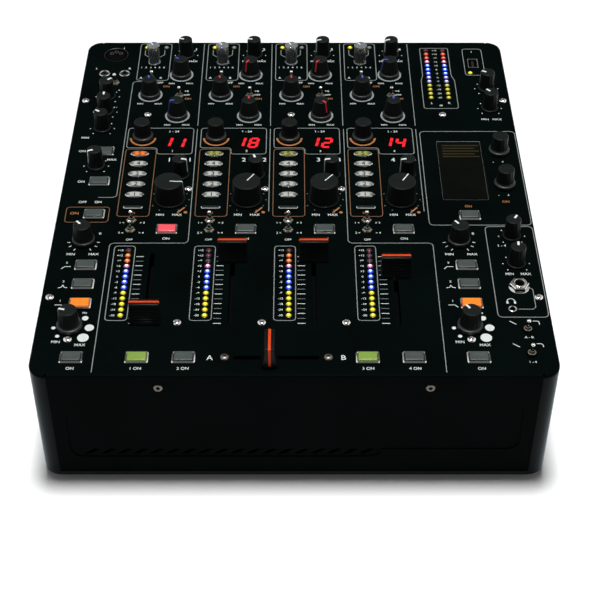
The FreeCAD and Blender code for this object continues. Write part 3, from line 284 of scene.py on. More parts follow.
def finish(name, colour, rough, spread=0.15, rough_spread=0.06, grain=1500.0, blotch=60.0, relief=0.0,
           **settings):
    """Material with a fine grain in its relief and roughness, and slow blotches in its colour."""
    material = bpy.data.materials.new(name)
    material.use_nodes = True
    tree = material.node_tree
    shader = set_inputs(tree.nodes["Principled BSDF"], **settings)
    place = add_node(tree, "TexCoord")
    fine = add_node(tree, "TexNoise", Scale=grain, Detail=3.0)
    slow = add_node(tree, "TexNoise", Scale=blotch, Detail=5.0)
    linked(tree, place, "Object", fine, "Vector")
    linked(tree, place, "Object", slow, "Vector")
    ramp = add_node(tree, "ValToRGB")
    stops = ((NOISE_LOW, 1 - spread), (NOISE_HIGH, 1 + spread))
    for stop, (position, share) in zip(ramp.color_ramp.elements, stops):
        stop.position = position
        stop.color = [min(1.0, channel * share) for channel in colour] + [1]
    linked(tree, slow, "Fac", ramp, "Fac")
    linked(tree, ramp, "Color", shader, "Base Color")
    gloss = add_node(tree, "MapRange", From_Min=NOISE_LOW, From_Max=NOISE_HIGH,
                     To_Min=max(0.02, rough - rough_spread), To_Max=rough + rough_spread)
    linked(tree, fine, "Fac", gloss, "Value")
    linked(tree, gloss, "Result", shader, "Roughness")
    if relief:
        bump = add_node(tree, "Bump", Strength=BUMP, Distance=relief * MM)
        linked(tree, fine, "Fac", bump, "Height")
        linked(tree, bump, "Normal", shader, "Normal")
    return material


def paint(name, colour, specular, **settings):
    return finish(name, colour, 0.5, 0.25, 0.07, 2600.0, 25.0, 0.02, Specular_IOR_Level=specular, **settings)


def metal(name, colour, rough, spread, relief):
    return finish(name, colour, rough, spread, 0.08, 1400.0, 150.0, relief, Metallic=1.0)


def ink(name, colour, spread, rough=0.6, blotch=300.0, **settings):
    return finish(name, colour, rough, spread, 0.05, 2400.0, blotch, 0.004, **settings)


def inlay(name, colour, spread, **settings):
    return ink(name, colour, spread, 0.5, 200.0, **settings)


def moulded(name, colour, rough, spread, **settings):
    return finish(name, colour, rough, spread, 0.06, 2200.0, 120.0, 0.01, **settings)


def window(name, colour):
    return finish(name, colour, 0.2, 0.2, 0.05, 1400.0, 60.0, Specular_IOR_Level=0.05)


def glowing(name, colour, glow, strength):
    """Lit plastic: a lens colour that also sends out light of its own."""
    return finish(name, colour, 0.25, Emission_Color=glow + (1,), Emission_Strength=strength)


CASE_BLACK = (0.0007, 0.0022, 0.0019)
PAINT = paint("black_powder_paint", CASE_BLACK, 0.01)
SHELL_PAINT = paint("black_shell_paint", CASE_BLACK, 0.03, Sheen_Weight=1.0, Sheen_Roughness=0.3,
                    Sheen_Tint=(0.8, 0.96, 1.0, 1))
# The base plate's copy of the black paint is lighter: painted light where the front lip of the base catches
# the light from above and front
BASE_PAINT_WITH_PAINTED_LIGHT = paint("black_base_paint_with_painted_light", (0.0045, 0.0072, 0.0075), 0.05)
KNOB = finish("soft_black_plastic", (0.0070, 0.0094, 0.0087), 0.42, 0.12, 0.05, 3200.0, 90.0, 0.012,
              Specular_IOR_Level=0.09)
RIM = finish("glossy_black_plastic", (0.0130, 0.0165, 0.0160), 0.42, 0.12, 0.05, 3200.0, 90.0, 0.006,
             Specular_IOR_Level=0.3)
CAP = finish("black_cap_plastic", (0.0018, 0.0028, 0.0028), 0.4, 0.12, 0.05, 2400.0, 90.0, 0.008,
             Specular_IOR_Level=0.12)
CLEAR = finish("clear_plastic", (0.62, 0.66, 0.67), 0.10, 0.04, 0.03, 900.0, 40.0,
               Transmission_Weight=0.78, IOR=1.45)
CHROME = finish("bright_chrome", (0.80, 0.80, 0.77), 0.16, 0.05, 0.05, 1800.0, 120.0, Metallic=1.0)
STEEL = metal("plated_steel", (0.46, 0.45, 0.42), 0.34, 0.12, 0.006)
NICKEL = metal("dull_nickel", (0.44, 0.40, 0.32), 0.3, 0.12, 0.004)
ZINC = metal("dull_zinc", (0.17, 0.155, 0.135), 0.42, 0.15, 0.006)
SILVER = finish("silver_button_plastic", (0.40, 0.41, 0.385), 0.4, 0.08, 0.06, 2000.0, 120.0, 0.006)
GREY = finish("grey_button_plastic", (0.042, 0.055, 0.051), 0.4, 0.1, 0.06, 2600.0, 140.0, 0.008)
SMOKE = finish("dark_bar_plastic", (0.006, 0.007, 0.007), 0.4, 0.1, 0.05, 2000.0, 120.0, 0.005)
WHITE_INK = ink("white_ink", (0.56, 0.60, 0.58), 0.06)
DARK_INK = ink("dark_ink", (0.010, 0.011, 0.010), 0.08)
GREY_INK = ink("grey_ink", (0.11, 0.13, 0.13), 0.08)
LINE_INK = ink("line_ink", (0.205, 0.225, 0.220), 0.08)
BROWN_INK = ink("brown_ink", (0.15, 0.062, 0.021), 0.1)
ORANGE_INK = ink("orange_ink", (0.32, 0.115, 0.030), 0.1)
ORANGE_LINE = inlay("orange_line", (0.60, 0.052, 0.005), 0.08, Specular_IOR_Level=0.1)
WHITE_LINE = inlay("white_line", (0.66, 0.69, 0.69), 0.05)
BLUE_LINE = inlay("blue_line", (0.05, 0.07, 0.42), 0.1)
RED_LINE = inlay("red_line", (0.52, 0.022, 0.030), 0.1)
# Black switch plastic, also used as the painted shade in the sockets of the front screws
BLACK_PLASTIC_AND_PAINTED_SHADE = moulded("black_switch_plastic_and_painted_shade", (0.0012, 0.0015, 0.0014), 0.5, 0.15, Specular_IOR_Level=0.03)
BLACK_SOCKET = moulded("black_socket_plastic", (0.010, 0.010, 0.009), 0.45, 0.15, Specular_IOR_Level=0.3)
RED_SOCKET = moulded("red_socket_plastic", (0.36, 0.02, 0.018), 0.4, 0.12)
WHITE_SOCKET = moulded("white_socket_plastic", (0.62, 0.62, 0.58), 0.4, 0.08)
RUBBER = finish("black_rubber", (0.012, 0.012, 0.011), 0.75, 0.2, 0.08, 1800.0, 80.0, 0.02,
                Specular_IOR_Level=0.25)
BOARD = finish("green_board", (0.010, 0.055, 0.022), 0.4, 0.2, 0.08, 900.0, 120.0, 0.01)
SUPPLY = finish("supply_metal", (0.30, 0.30, 0.30), 0.42, 0.15, 0.08, 900.0, 90.0, 0.01, Metallic=0.9)
GLASS = window("dark_window", (0.0010, 0.0014, 0.0012))
SCREEN = window("screen_window", (0.0024, 0.0030, 0.0022))
AMBER_MARK = glowing("amber_mark", (0.012, 0.010, 0.002), (0.030, 0.018, 0.002), 0.35)
DIGIT_LIT = glowing("red_digit", (0.30, 0.01, 0.012), (1.0, 0.012, 0.022), 0.75)
CAP_RED = glowing("red_lit_button", (0.54, 0.070, 0.088), (0.80, 0.05, 0.075), 0.35)
CAP_AMBER = glowing("amber_lit_button", (0.66, 0.17, 0.012), (1.0, 0.20, 0.02), 0.4)
CAP_GREEN = glowing("green_lit_button", (0.14, 0.215, 0.045), (0.18, 0.29, 0.03), 0.35)
OVAL_AMBER = glowing("amber_lit_oval", (0.48, 0.11, 0.015), (0.90, 0.17, 0.01), 0.45)
OVAL_LIME = glowing("lime_lit_oval", (0.20, 0.21, 0.05), (0.30, 0.32, 0.04), 0.3)


# Mesh building
class Shape:
    """A mesh in millimetres, gathered part by part, where each face has the number of its material."""

    def __init__(self):
        self.points = []
        self.faces = []
        self.numbers = []

    def face(self, corners, number):
        self.faces.append(corners)
        self.numbers.append(number)

    def loft(self, rings, number=0, wrap=False):
        """Skin over rings of equally many points, closed at both ends, or joined end to end where it wraps.
        The number is one for all, or a list with one for each step from ring to ring."""
        base = len(self.points)
        count = len(rings[0])
        for ring in rings:
            self.points.extend(ring)
        steps = len(rings) if wrap else len(rings) - 1
        numbers = number if isinstance(number, list) else [number] * steps
        for level in range(steps):
            lower = base + level * count
            upper = base + (level + 1) % len(rings) * count
            for step in range(count):
                after = (step + 1) % count
                self.face([lower + step, lower + after, upper + after, upper + step], numbers[level])
        if not wrap:
            last = base + (len(rings) - 1) * count
            self.face([base + step for step in reversed(range(count))], numbers[0])
            self.face([last + step for step in range(count)], numbers[-1])

    def mesh_of(self, source, x, y, z, number):
        """Copies a mesh that is already in millimetres."""
        base = len(self.points)
        for vertex in source.vertices:
            self.points.append((x + vertex.co.x, y + vertex.co.y, z + vertex.co.z))
        for polygon in source.polygons:
            self.face([base + corner for corner in polygon.vertices], number)


def make(name, shape, materials, body, replaced=()):
    """Finished piece that rides on a body of the frame."""
    mesh = bpy.data.meshes.new(name)
    mesh.from_pydata([[value * MM for value in place] for place in shape.points], [], shape.faces)
    mesh.polygons.foreach_set("material_index", shape.numbers)
    editing = bmesh.new()
    editing.from_mesh(mesh)
    bmesh.ops.recalc_face_normals(editing, faces=editing.faces)
    editing.to_mesh(mesh)
    editing.free()
    mesh.polygons.foreach_set("use_smooth", [True] * len(mesh.polygons))
    mesh.set_sharp_from_angle(angle=math.radians(SHARP_EDGE))
    for material in materials:
        mesh.materials.append(material)
    piece = bpy.data.objects.new(name, mesh)
    bpy.context.scene.collection.objects.link(piece)
    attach(piece, body)
    if replaced:
        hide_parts(*replaced)


# Outlines, as lists of x and y about a middle at zero
def oval_outline(length, breadth, steps=56):
    turns = [2 * math.pi * step / steps for step in range(steps)]
    return [(length / 2 * math.cos(turn), breadth / 2 * math.sin(turn)) for turn in turns]


def round_outline(radius, steps):
    return oval_outline(2 * radius, 2 * radius, steps)


def box_outline(length, breadth, corner, steps=6):
    places = []
    for quarter, (side_x, side_y) in enumerate(((1, 1), (-1, 1), (-1, -1), (1, -1))):
        for step in range(steps + 1):
            turn = math.radians(90 * quarter + 90 * step / steps)
            x = side_x * (length / 2 - corner) + corner * math.cos(turn)
            y = side_y * (breadth / 2 - corner) + corner * math.sin(turn)
            places.append((x, y))
    return places


def box_inset(length, breadth, corner, least=0.0, share=1.0):
    """Function from an inset to a box smaller by it on each side, whose corners shrink by a share of it."""
    def outline(inset):
        return box_outline(length - 2 * inset, breadth - 2 * inset, max(least, corner - inset * share))

    return outline


def hexagon_inset(flat):
    """Function from an inset of the corners to a six-sided outline."""
    corner = flat / math.cos(math.pi / 6)
    return lambda inset: round_outline(corner - inset, 6)


def upright(outline, x, y, z, along=0.0):
    """Ring of an outline that lies flat, at a distance up from z."""
    return [(x + px, y + py, z + along) for px, py in outline]


def facing_back(outline, x, y, z, along=0.0):
    """Ring of an outline that faces the back of the object, at a distance back from y."""
    return [(x + px, y + along, z + py) for px, py in outline]


def stack(shape, outline, levels, x, y, z, number=0, hole=False, ring=upright):
    """Skin over outlines, from pairs of the outline's measure and the distance along the axis.
    Where the part has a hole, the pairs are a closed loop."""
    shape.loft([ring(outline(measure), x, y, z, along) for measure, along in levels], number, hole)


def turned(shape, profile, x, y, z, number=0, steps=40, ring=upright, hole=False):
    """Round part from pairs of radius and distance along its axis, which points up or to the back."""
    stack(shape, lambda radius: round_outline(radius, steps), profile, x, y, z, number, hole, ring)


def tube(shape, profile, x, y, z, number=0, steps=40, ring=upright):
    """Round part with a hole."""
    turned(shape, profile, x, y, z, number, steps, ring, True)


def quarter_round(radius, steps=4):
    """Pairs of inset and rise from the foot of a rounded edge to its top."""
    turns = [math.pi / 2 * step / steps for step in range(steps + 1)]
    return [(radius * (1 - math.cos(turn)), radius * math.sin(turn)) for turn in turns]


# Print, as thin films on the panel
def stroke(shape, path, breadth=LINE, closed=False):
    """Line of even breadth along x and row points."""
    places = [Vector((x, row(distance))) for x, distance in path]
    count = len(places)
    low = PANEL - INK_SINK
    high = PANEL + INK
    rings = []
    for index, place in enumerate(places):
        before = places[(index - 1) % count] if closed or index else place
        after = places[(index + 1) % count] if closed or index < count - 1 else place
        arriving = (place - before).normalized() if place != before else (after - place).normalized()
        leaving = (after - place).normalized() if after != place else arriving
        along = (arriving + leaving).normalized()
        side = Vector((-along.y, along.x))
        reach = breadth / 2 / max(0.5, along.dot(leaving))
        left = place + side * reach
        right = place - side * reach
        rings.append([(*left, low), (*right, low), (*right, high), (*left, high)])
    shape.loft(rings, 0, closed)


def bend(path, corner, closed=False, steps=5):
    """Path whose corners are rounded by short curves."""
    places = [Vector(place) for place in path]
    count = len(places)
    smooth = []
    for index, place in enumerate(places):
        if not closed and index in (0, count - 1):
            smooth.append(place)
            continue
        start = place + (places[index - 1] - place).normalized() * corner
        end = place + (places[(index + 1) % count] - place).normalized() * corner
        for step in range(steps + 1):
            share = step / steps
            smooth.append(start.lerp(place, share).lerp(place.lerp(end, share), share))
    return smooth


def shifted(path, x, distance=0.0):
    return [(x + across, distance + along) for across, along in path]


def frame_line(shape, sides, x=0.0, corner=CORNER, breadth=LINE):
    """Rounded frame from its left and right side about x, and its front and back row."""
    left, right, front, back = sides
    path = [(x + left, front), (x + right, front), (x + right, back), (x + left, back)]
    stroke(shape, bend(path, corner, True), breadth, True)


def arc_path(x, distance, radius, first, last, steps=40):
    """Path of an arc, with its angles in degrees clockwise from straight back."""
    path = []
    for step in range(steps + 1):
        turn = math.radians(first + (last - first) * step / steps)
        path.append((x + radius * math.sin(turn), distance + radius * math.cos(turn)))
    return path


def on_circle(x, y, radius, turn):
    """Point round a knob, as x and row."""
    return arc_path(x, y - FRONT, radius, turn, turn, 1)[0]


def dot(shape, x, distance, radius):
    turned(shape, [(radius, -INK_SINK), (radius, INK)], x, row(distance), PANEL, 0, 24)


def dotted(shape, x, y, radius=8.6, reach=135, pitch=45):
    """Dots round a knob, from one end of its turn to the other."""
    for turn in range(-reach, reach + 1, pitch):
        dot(shape, *on_circle(x, y, radius, turn), DOT)


letter_meshes = {}


def letters(text, height):
    """Mesh of a word, centred, with capitals of a given height."""
    key = (text, height)
    if key not in letter_meshes:
        curve = bpy.data.curves.new("label", "FONT")
        curve.body = text
        curve.size = height / CAPITAL_SHARE
        curve.offset = BOLD * height
        curve.extrude = (INK + INK_SINK) / 2
        carrier = bpy.data.objects.new("label", curve)
        mesh = bpy.data.meshes.new_from_object(carrier)
        bpy.data.objects.remove(carrier)
        xs = [vertex.co.x for vertex in mesh.vertices]
        ys = [vertex.co.y for vertex in mesh.vertices]
        shift = Vector(((min(xs) + max(xs)) / 2, (min(ys) + max(ys)) / 2, 0))
        for vertex in mesh.vertices:
            vertex.co -= shift
        letter_meshes[key] = mesh
    return letter_meshes[key]


def label(shape, text, x, distance, height=LABEL):
    shape.mesh_of(letters(text, height), x, row(distance), PANEL + (INK - INK_SINK) / 2, 0)


def words(shape, entries, x=0.0, height=LABEL):
    """Labels from their text, their distance across from x, and their row."""
    for text, across, distance in entries:
        label(shape, text, x + across, distance, height)


# Case
def paint_frame_nodes():
    """Materials of the CAD nodes that stay in sight or inside."""
    finishes = {
        "top_panel": PAINT,
        "front_panel": PAINT,
        "rear_panel": PAINT,
        # lighter copy of the black paint, as painted light on the base
        "base_plate": BASE_PAINT_WITH_PAINTED_LIGHT,
        "control_board": BOARD,
        "power_supply": SUPPLY,
        "control_bodies": BLACK_PLASTIC_AND_PAINTED_SHADE,
        "screws_and_pillars": ZINC,
    }
    for node, material in finishes.items():
        mesh = frame["nodes"][node].data
        mesh.materials.clear()
        mesh.materials.append(material)


def shell_path(low, high, side, inset):
    """Path along one side of the case and round its two corners."""
    radius = SHELL_CORNER - inset
    path = []
    for centre_y, first in ((low[1] + SHELL_CORNER, 270), (high[1] - SHELL_CORNER, 0)):
        for step in range(SHELL_STEPS + 1):
            turn = math.radians(first + 90 * step / SHELL_STEPS)
            x = high[0] - SHELL_CORNER + radius * math.cos(turn)
            path.append((side * x, centre_y + radius * math.sin(turn)))
    return path


def side_shells():
    """Two side walls that turn round the corners of the case."""
    low, high = box_of("side_panels")
    levels = [(SHELL_EDGE, low[2]), (0, low[2] + SHELL_EDGE)]
    levels += [(0, high[2] - SHELL_EDGE), (SHELL_EDGE, high[2])]
    shape = Shape()
    for side in (-1, 1):
        def section(edge):
            inner = shell_path(low, high, side, SHELL_WALL - edge)
            return shell_path(low, high, side, edge) + inner[::-1]

        stack(shape, section, levels, 0, 0, 0)
    make("side_shells", shape, [SHELL_PAINT], "chassis", ["side_panels"])


def rubber_feet():
    shape = Shape()
    for ends in solids_of("rubber_feet"):
        radius = width(ends) / 2
        height = ends[1][2]
        profile = [(radius * 0.4, 0.8), (radius * 0.5, 0.0), (radius * 0.82, 0.0), (radius * 0.9, 0.5)]
        profile += [(radius * 0.97, height * 0.5), (radius, height - 0.6), (radius, height)]
        turned(shape, profile, *middle(ends), 0)
    make("rubber_feet_pads", shape, [RUBBER], "chassis", ["rubber_feet"])


# Screws
def screw_heads():
    """Domed heads over the panel screws, dull ones beside the crossfader, and flat heads at the front."""
    dome = [(SCREW_RADIUS, 0.0), (SCREW_RADIUS, SCREW_RIM)]
    for step in range(1, 7):
        turn = math.radians(step * DOME_STEP)
        rise = (SCREW_HEIGHT - SCREW_RIM) * math.sin(turn) / DOME_RISE
        dome.append((SCREW_RADIUS * math.cos(turn), SCREW_RIM + rise))
    dome += [(SCREW_SOCKET, SCREW_HEIGHT), (SCREW_SOCKET * 0.85, SCREW_HEIGHT - 0.2)]
    dome += [(SCREW_SOCKET * 0.8, SCREW_HEIGHT - SCREW_SOCKET_DEPTH)]
    shape = Shape()
    crossfader_y = centre_of("crossfader")[1]
    for ends in solids_of("screws_and_pillars"):
        x, y = middle(ends)
        if ends[0][1] < FRONT + IN_SIGHT:
            front_screw(shape, x, ends[0][1], (ends[0][2] + ends[1][2]) / 2, width(ends) / 2)
        if ends[1][2] > PANEL + IN_SIGHT:
            turned(shape, dome, x, y, PANEL, 1 if abs(y - crossfader_y) < NEAR else 0)
    make("screw_heads", shape, [CHROME, ZINC, BLACK_PLASTIC_AND_PAINTED_SHADE], "chassis")


def front_screw(shape, x, y, z, radius):
    """Flat head that faces the front, with a black disc in its socket as painted shade."""
    head = [(radius + 0.06, 0.4), (radius + 0.06, -0.2), (radius - 0.25, -0.45), (FRONT_SOCKET + 0.15, -0.45)]
    head += [(FRONT_SOCKET, -0.3), (FRONT_SOCKET, -0.06)]
    turned(shape, head, x, y, z, 1, 32, facing_back)
    # black disc at the bottom of the socket: painted shade inside the socket
    turned(shape, [(FRONT_SOCKET - 0.05, -0.05), (FRONT_SOCKET - 0.05, -0.1)], x, y, z, 2, 32, facing_back)


# Knobs
def knob_profile(style, foot, height):
    """Radius, height and share of the flutes, from the foot to the top."""
    body, top, straight, flare, flutes = KNOB_STYLES[style]
    profile = [(SPINDLE_RADIUS + 0.4, 0, 0), (foot - 0.1, 0, 0)]
    profile += [(foot - inset, straight - SHOULDER + rise, 0) for inset, rise in quarter_round(SHOULDER)]
    start = foot - SHOULDER
    for step in range(1, FLARE_STEPS + 1):
        share = step / FLARE_STEPS
        turn = share * math.pi / 2
        radius = start + (body - start) * math.sin(turn)
        profile.append((radius, straight + (flare - straight) * (1 - math.cos(turn)), share))
    for step in range(1, KNOB_LEVELS + 1):
        share = step / KNOB_LEVELS
        profile.append((body + (top - body) * share, flare + (height - KNOB_EDGE - flare) * share, 1))
    for inset, rise in quarter_round(KNOB_EDGE, 5)[1:]:
        profile.append((top - inset, height - KNOB_EDGE + rise, 1 - rise / KNOB_EDGE))
    if style == "encoder":
        rim = top - KNOB_EDGE - DISH_RIM
        dish = [(rim, 0.02), (rim - DISH_DEPTH, DISH_DEPTH), (top * 0.12, DISH_DEPTH + 0.1)]
    else:
        dish = [(top - KNOB_EDGE - 0.5, 0.04), (top * 0.5, 0.16), (top * 0.12, 0.2)]
    return profile + [(radius, height - drop, 0) for radius, drop in dish]


def fluted(radius, share, flutes, x, y, z, pointer):
    """Ring of a knob, with a ridge at its pointer."""
    places = []
    steps = flutes * 6
    for step in range(steps):
        turn = 2 * math.pi * step / steps
        reach = radius - share * FLUTE_DEPTH * (1 - math.cos(flutes * turn)) / 2
        angle = math.pi / 2 - pointer - turn
        places.append((x + reach * math.cos(angle), y + reach * math.sin(angle), z))
    return places


def knob(shape, style, x, y, foot, top, pointer, marked):
    """Knob cap with its skirt, its spindle and its inlaid pointer, as material numbers 0, 1, 2 and 3."""
    base = PANEL + KNOB_GAP
    profile = knob_profile(style, foot, top - base)
    flare, flutes = KNOB_STYLES[style][3:]
    turn = math.radians(pointer)
    numbers = [1 if style in SKIRTED and z < flare else 0 for radius, z, share in profile[1:]]
    shape.loft([fluted(radius, share, flutes, x, y, base + z, turn) for radius, z, share in profile], numbers)
    spindle_top = (top - base) * 0.6 if style == "clear" else 0.2
    turned(shape, [(SPINDLE_RADIUS, -1.5), (SPINDLE_RADIUS, KNOB_GAP + spindle_top)], x, y, PANEL, 2, 24)
    if marked:
        add_pointer(shape, profile, style, x, y, base, turn)


def add_pointer(shape, profile, style, x, y, base, turn):
    """Inlaid line from near the middle of the top, over the edge and down the side."""
    body, top, straight, flare, flutes = KNOB_STYLES[style]
    start = top * POINTER_START[style]
    path = [(radius, z) for radius, z, share in profile if z > flare + 0.3 and radius > start]
    path.append((start, path[-1][1] - 0.05))
    outward = Vector((math.sin(turn), math.cos(turn)))
    across = Vector((outward.y, -outward.x)) * POINTER_WIDTH[style] / 2
    rings = []
    for index, (radius, z) in enumerate(path):
        before = Vector(path[max(0, index - 1)])
        after = Vector(path[min(len(path) - 1, index + 1)])
        along = (after - before).normalized()
        normal = Vector((along.y, -along.x)) * POINTER_PROUD
        ring = []
        for side, lift in ((-1, -2), (1, -2), (1, 1), (-1, 1)):
            place = outward * (radius + normal.x * lift) + across * side
            ring.append((x + place.x, y + place.y, base + z + normal.y * lift))
        rings.append(ring)
    shape.loft(rings, 3)


def pointer_of(body):
    """Rest direction of a pointer: the middle of its joint's range, in degrees clockwise from the back."""
    for joint in frame["joints"]:
        if joint["child"] == body and "range_deg" in joint:
            return sum(joint["range_deg"]) / 2
    return 0.0


def moving_knob(node, style, line):
    ends = box_of(node)
    shape = Shape()
    knob(shape, style, *middle(ends), width(ends) / 2, ends[1][2], pointer_of(node), line is not None)
    clear = style == "clear"
    materials = [CLEAR if clear else KNOB, RIM, KNOB if clear else STEEL]
    if line is not None:
        materials.append(line)
    make(node + "_cap", shape, materials, node, [node])


def channel_knobs():
    tone_lines = [BLUE_LINE, RED_LINE, RED_LINE, BLUE_LINE]
    for channel in range(CHANNELS):
        for kind, style in KNOB_OF.items():
            line = tone_lines[channel] if kind in TONE_KNOBS else WHITE_LINE
            if kind == "step_encoder":
                line = None
            moving_knob("channel_%d_%s" % (channel + 1, kind), style, line)


def filter_knobs():
    for side in ("left", "right"):
        for kind in ("resonance_knob", "frequency_knob"):
            moving_knob(side + "_" + kind, "filter", WHITE_LINE)


def side_knob_ends():
    """Caps of the fixed knobs, from back to front."""
    caps = [ends for ends in solids_of("side_knobs") if width(ends) > 3 * SPINDLE_RADIUS]
    return sorted(caps, key=lambda ends: -ends[0][1])


def fixed_knobs():
    """Knobs of the microphone, booth, screen and headphone places."""
    left = iter(LEFT_POINTERS)
    right = iter(RIGHT_POINTERS)
    shape = Shape()
    for ends in side_knob_ends():
        x, y = middle(ends)
        slim = width(ends) < SLIM_LIMIT
        pointer = 0
        if slim:
            pointer = next(left) if x < 0 else next(right)
        knob(shape, "slim" if slim else "encoder", x, y, width(ends) / 2, ends[1][2], pointer, slim)
    make("side_knob_caps", shape, [KNOB, RIM, STEEL, WHITE_LINE], "chassis", ["side_knobs"])


# Faders
def cap_section(inset, half_foot, height):
    """Closed section of a fader cap: dished and ribbed sides, and a rounded top."""
    half_top = CAP_TOP / 2
    places = []
    for step in range(CAP_STEPS + 1):
        share = step / CAP_STEPS
        side = half_foot + (half_top - half_foot) * share - CAP_DISH * math.sin(math.pi * share)
        if RIB_START < share < RIB_END:
            wave = (share - RIB_START) / (RIB_END - RIB_START)
            side -= CAP_RIB * (1 - math.cos(2 * math.pi * CAP_RIBS * wave)) / 2
        places.append((side, (height - CAP_EDGE) * share))
    for lean, rise in quarter_round(CAP_EDGE)[1:]:
        places.append((half_top - lean, height - CAP_EDGE + rise))
    right = [(side - inset, rise * (1 - inset / height)) for side, rise in places]
    return right + [(-side, rise) for side, rise in reversed(right)]


def fader(node, sideways):
    """Fader cap, its line and its blade, as numbers 0 to 2. A sideways cap has its length along y."""
    ends = box_of(node)
    x, y = middle(ends)
    base = PANEL + CAP_GAP
    height = ends[1][2] - base
    half_foot, half_length = sorted((width(ends) / 2, depth(ends) / 2))

    def place(along, side, rise):
        if sideways:
            return (x + side, y + along, base + rise)
        return (x + along, y + side, base + rise)

    shape = Shape()
    half = [(CAP_EDGE - rise, half_length - lean) for lean, rise in quarter_round(CAP_EDGE)]
    rings = []
    for inset, along in [(inset, -along) for inset, along in half] + half[::-1]:
        rings.append([place(along, side, rise) for side, rise in cap_section(inset, half_foot, height)])
    shape.loft(rings, 0)
    tip = half_length + POINTER_PROUD
    half = [(tip, CROSS_LINE_FOOT if sideways else height - CAP_EDGE - 0.4)]
    for inset, rise in quarter_round(CAP_EDGE + POINTER_PROUD):
        half.append((tip - inset, height - CAP_EDGE + rise))
    rings = []
    for along, rise in half + [(-along, rise) for along, rise in reversed(half)]:
        inner = along - math.copysign(3 * POINTER_PROUD, along)
        low = rise - 3 * POINTER_PROUD
        corners = ((along, -1, rise), (along, 1, rise), (inner, 1, low), (inner, -1, low))
        rings.append([place(out, side * CAP_LINE / 2, up) for out, side, up in corners])
    shape.loft(rings, 1)
    blade = [(-1, -1), (1, -1), (1, 1), (-1, 1)]
    rings = []
    for rise in (-CAP_GAP - BLADE_DEPTH, 1):
        rings.append([place(along * BLADE[0] / 2, side * BLADE[1] / 2, rise) for along, side in blade])
    shape.loft(rings, 2)
    make(node + "_cap", shape, [CAP, ORANGE_LINE, STEEL], node, [node])


# Buttons
LIT_SQUARES = {
    "red": (CAP_RED, [(-84.8, 135.5)]),
    "amber": (CAP_AMBER, [(-134.8, 63.0), (111.5, 63.0)]),
    "green": (CAP_GREEN, [(-95.3, 15.0), (44.4, 15.0)]),
}


def square_colour(x, y):
    for name, (material, places) in LIT_SQUARES.items():
        for lit_x, lit_row in places:
            if math.hypot(x - lit_x, y - row(lit_row)) < NEAR:
                return name
    return "grey"


def square_cap(shape, ends):
    """Square button with rounded edges and a shallow dish."""
    x, y = middle(ends)
    top = ends[1][2]
    outline = box_inset(width(ends), depth(ends), BUTTON_CORNER, LEAST_CORNER, 0.5)
    rings = [upright(outline(0), x, y, PANEL - SKIRT)]
    for inset, rise in quarter_round(BUTTON_EDGE):
        rings.append(upright(outline(inset), x, y, top - BUTTON_EDGE, rise))
    less, corner, drop = BUTTON_DISH
    rings.append(upright(box_outline(width(ends) - less, depth(ends) - less, corner), x, y, top - drop))
    shape.loft(rings)


def square_buttons():
    shapes = {}
    for ends in solids_of("push_buttons"):
        square_cap(shapes.setdefault(square_colour(*middle(ends)), Shape()), ends)
    for name, shape in shapes.items():
        material = LIT_SQUARES[name][0] if name in LIT_SQUARES else GREY
        make("square_caps_" + name, shape, [material], "push_buttons", ["push_buttons"])


def button_frames():
    """Bright frames round the square buttons."""
    shape = Shape()
    for ends in solids_of("button_bezels"):
        height = ends[1][2] - PANEL
        profile = [(0, -0.05), (0, height - BEZEL_SLOPE), (BEZEL_SLOPE, height)]
        profile += [(BEZEL_WALL - BEZEL_EDGE, height), (BEZEL_WALL, height - BEZEL_EDGE), (BEZEL_WALL, -1.0)]
        profile += [(BEZEL_WALL - 0.5, -1.0), (BEZEL_WALL - 0.5, -0.05)]
        outline = box_inset(width(ends), depth(ends), FRAME_CORNER, LEAST_CORNER)
        stack(shape, outline, profile, *middle(ends), PANEL, 0, True)
    make("button_frames", shape, [CHROME], "chassis", ["button_bezels"])


def oval_cap(shape, ends):
    """Oval button: a bright rim round a slightly domed plate."""
    top = ends[1][2]
    foot = PANEL - SKIRT - top

    def outline(inset):
        return oval_outline(width(ends) - 2 * inset, depth(ends) - 2 * inset)

    rim = [(0, foot), (0, -0.5), (0.12, -0.2), (0.4, 0), (OVAL_RIM, 0)]
    rim += [(OVAL_RIM + 0.1, -0.4), (OVAL_RIM + 0.1, foot)]
    stack(shape, outline, rim, *middle(ends), top, 0, True)
    plate = [(OVAL_RIM + 0.05, foot + 1), (OVAL_RIM + 0.05, -0.35)]
    plate += [(OVAL_RIM + 0.5, -0.22), (OVAL_RIM + 1.3, -0.1), (OVAL_RIM + 2.0, -0.06)]
    stack(shape, outline, plate, *middle(ends), top, 1)


def bar_cap(shape, ends):
    """Dark bar with a bright lip along its front edge and round its front corners."""
    x, y = middle(ends)
    half_x = width(ends) / 2
    half_y = depth(ends) / 2
    top = ends[1][2]
    levels = [(0, PANEL - SKIRT)]
    levels += [(inset, top - BAR_EDGE + rise) for inset, rise in quarter_round(BAR_EDGE)]
    stack(shape, box_inset(width(ends), depth(ends), BAR_CORNER), levels, x, y, 0, 1)
    lip = [(-half_x, 0.6), (-half_x, -half_y), (half_x, -half_y), (half_x, 0.6)]
    rings = []
    for place in bend(lip, BAR_CORNER):
        inner = Vector((place.x * (1 - BAR_LIP / half_x), place.y * (1 - BAR_LIP / half_y)))
        section = ((place, -0.6), (place, 0.02), (inner, 0.05), (inner, -0.6))
        rings.append([(x + px, y + py, top + rise) for (px, py), rise in section])
    shape.loft(rings, 0)


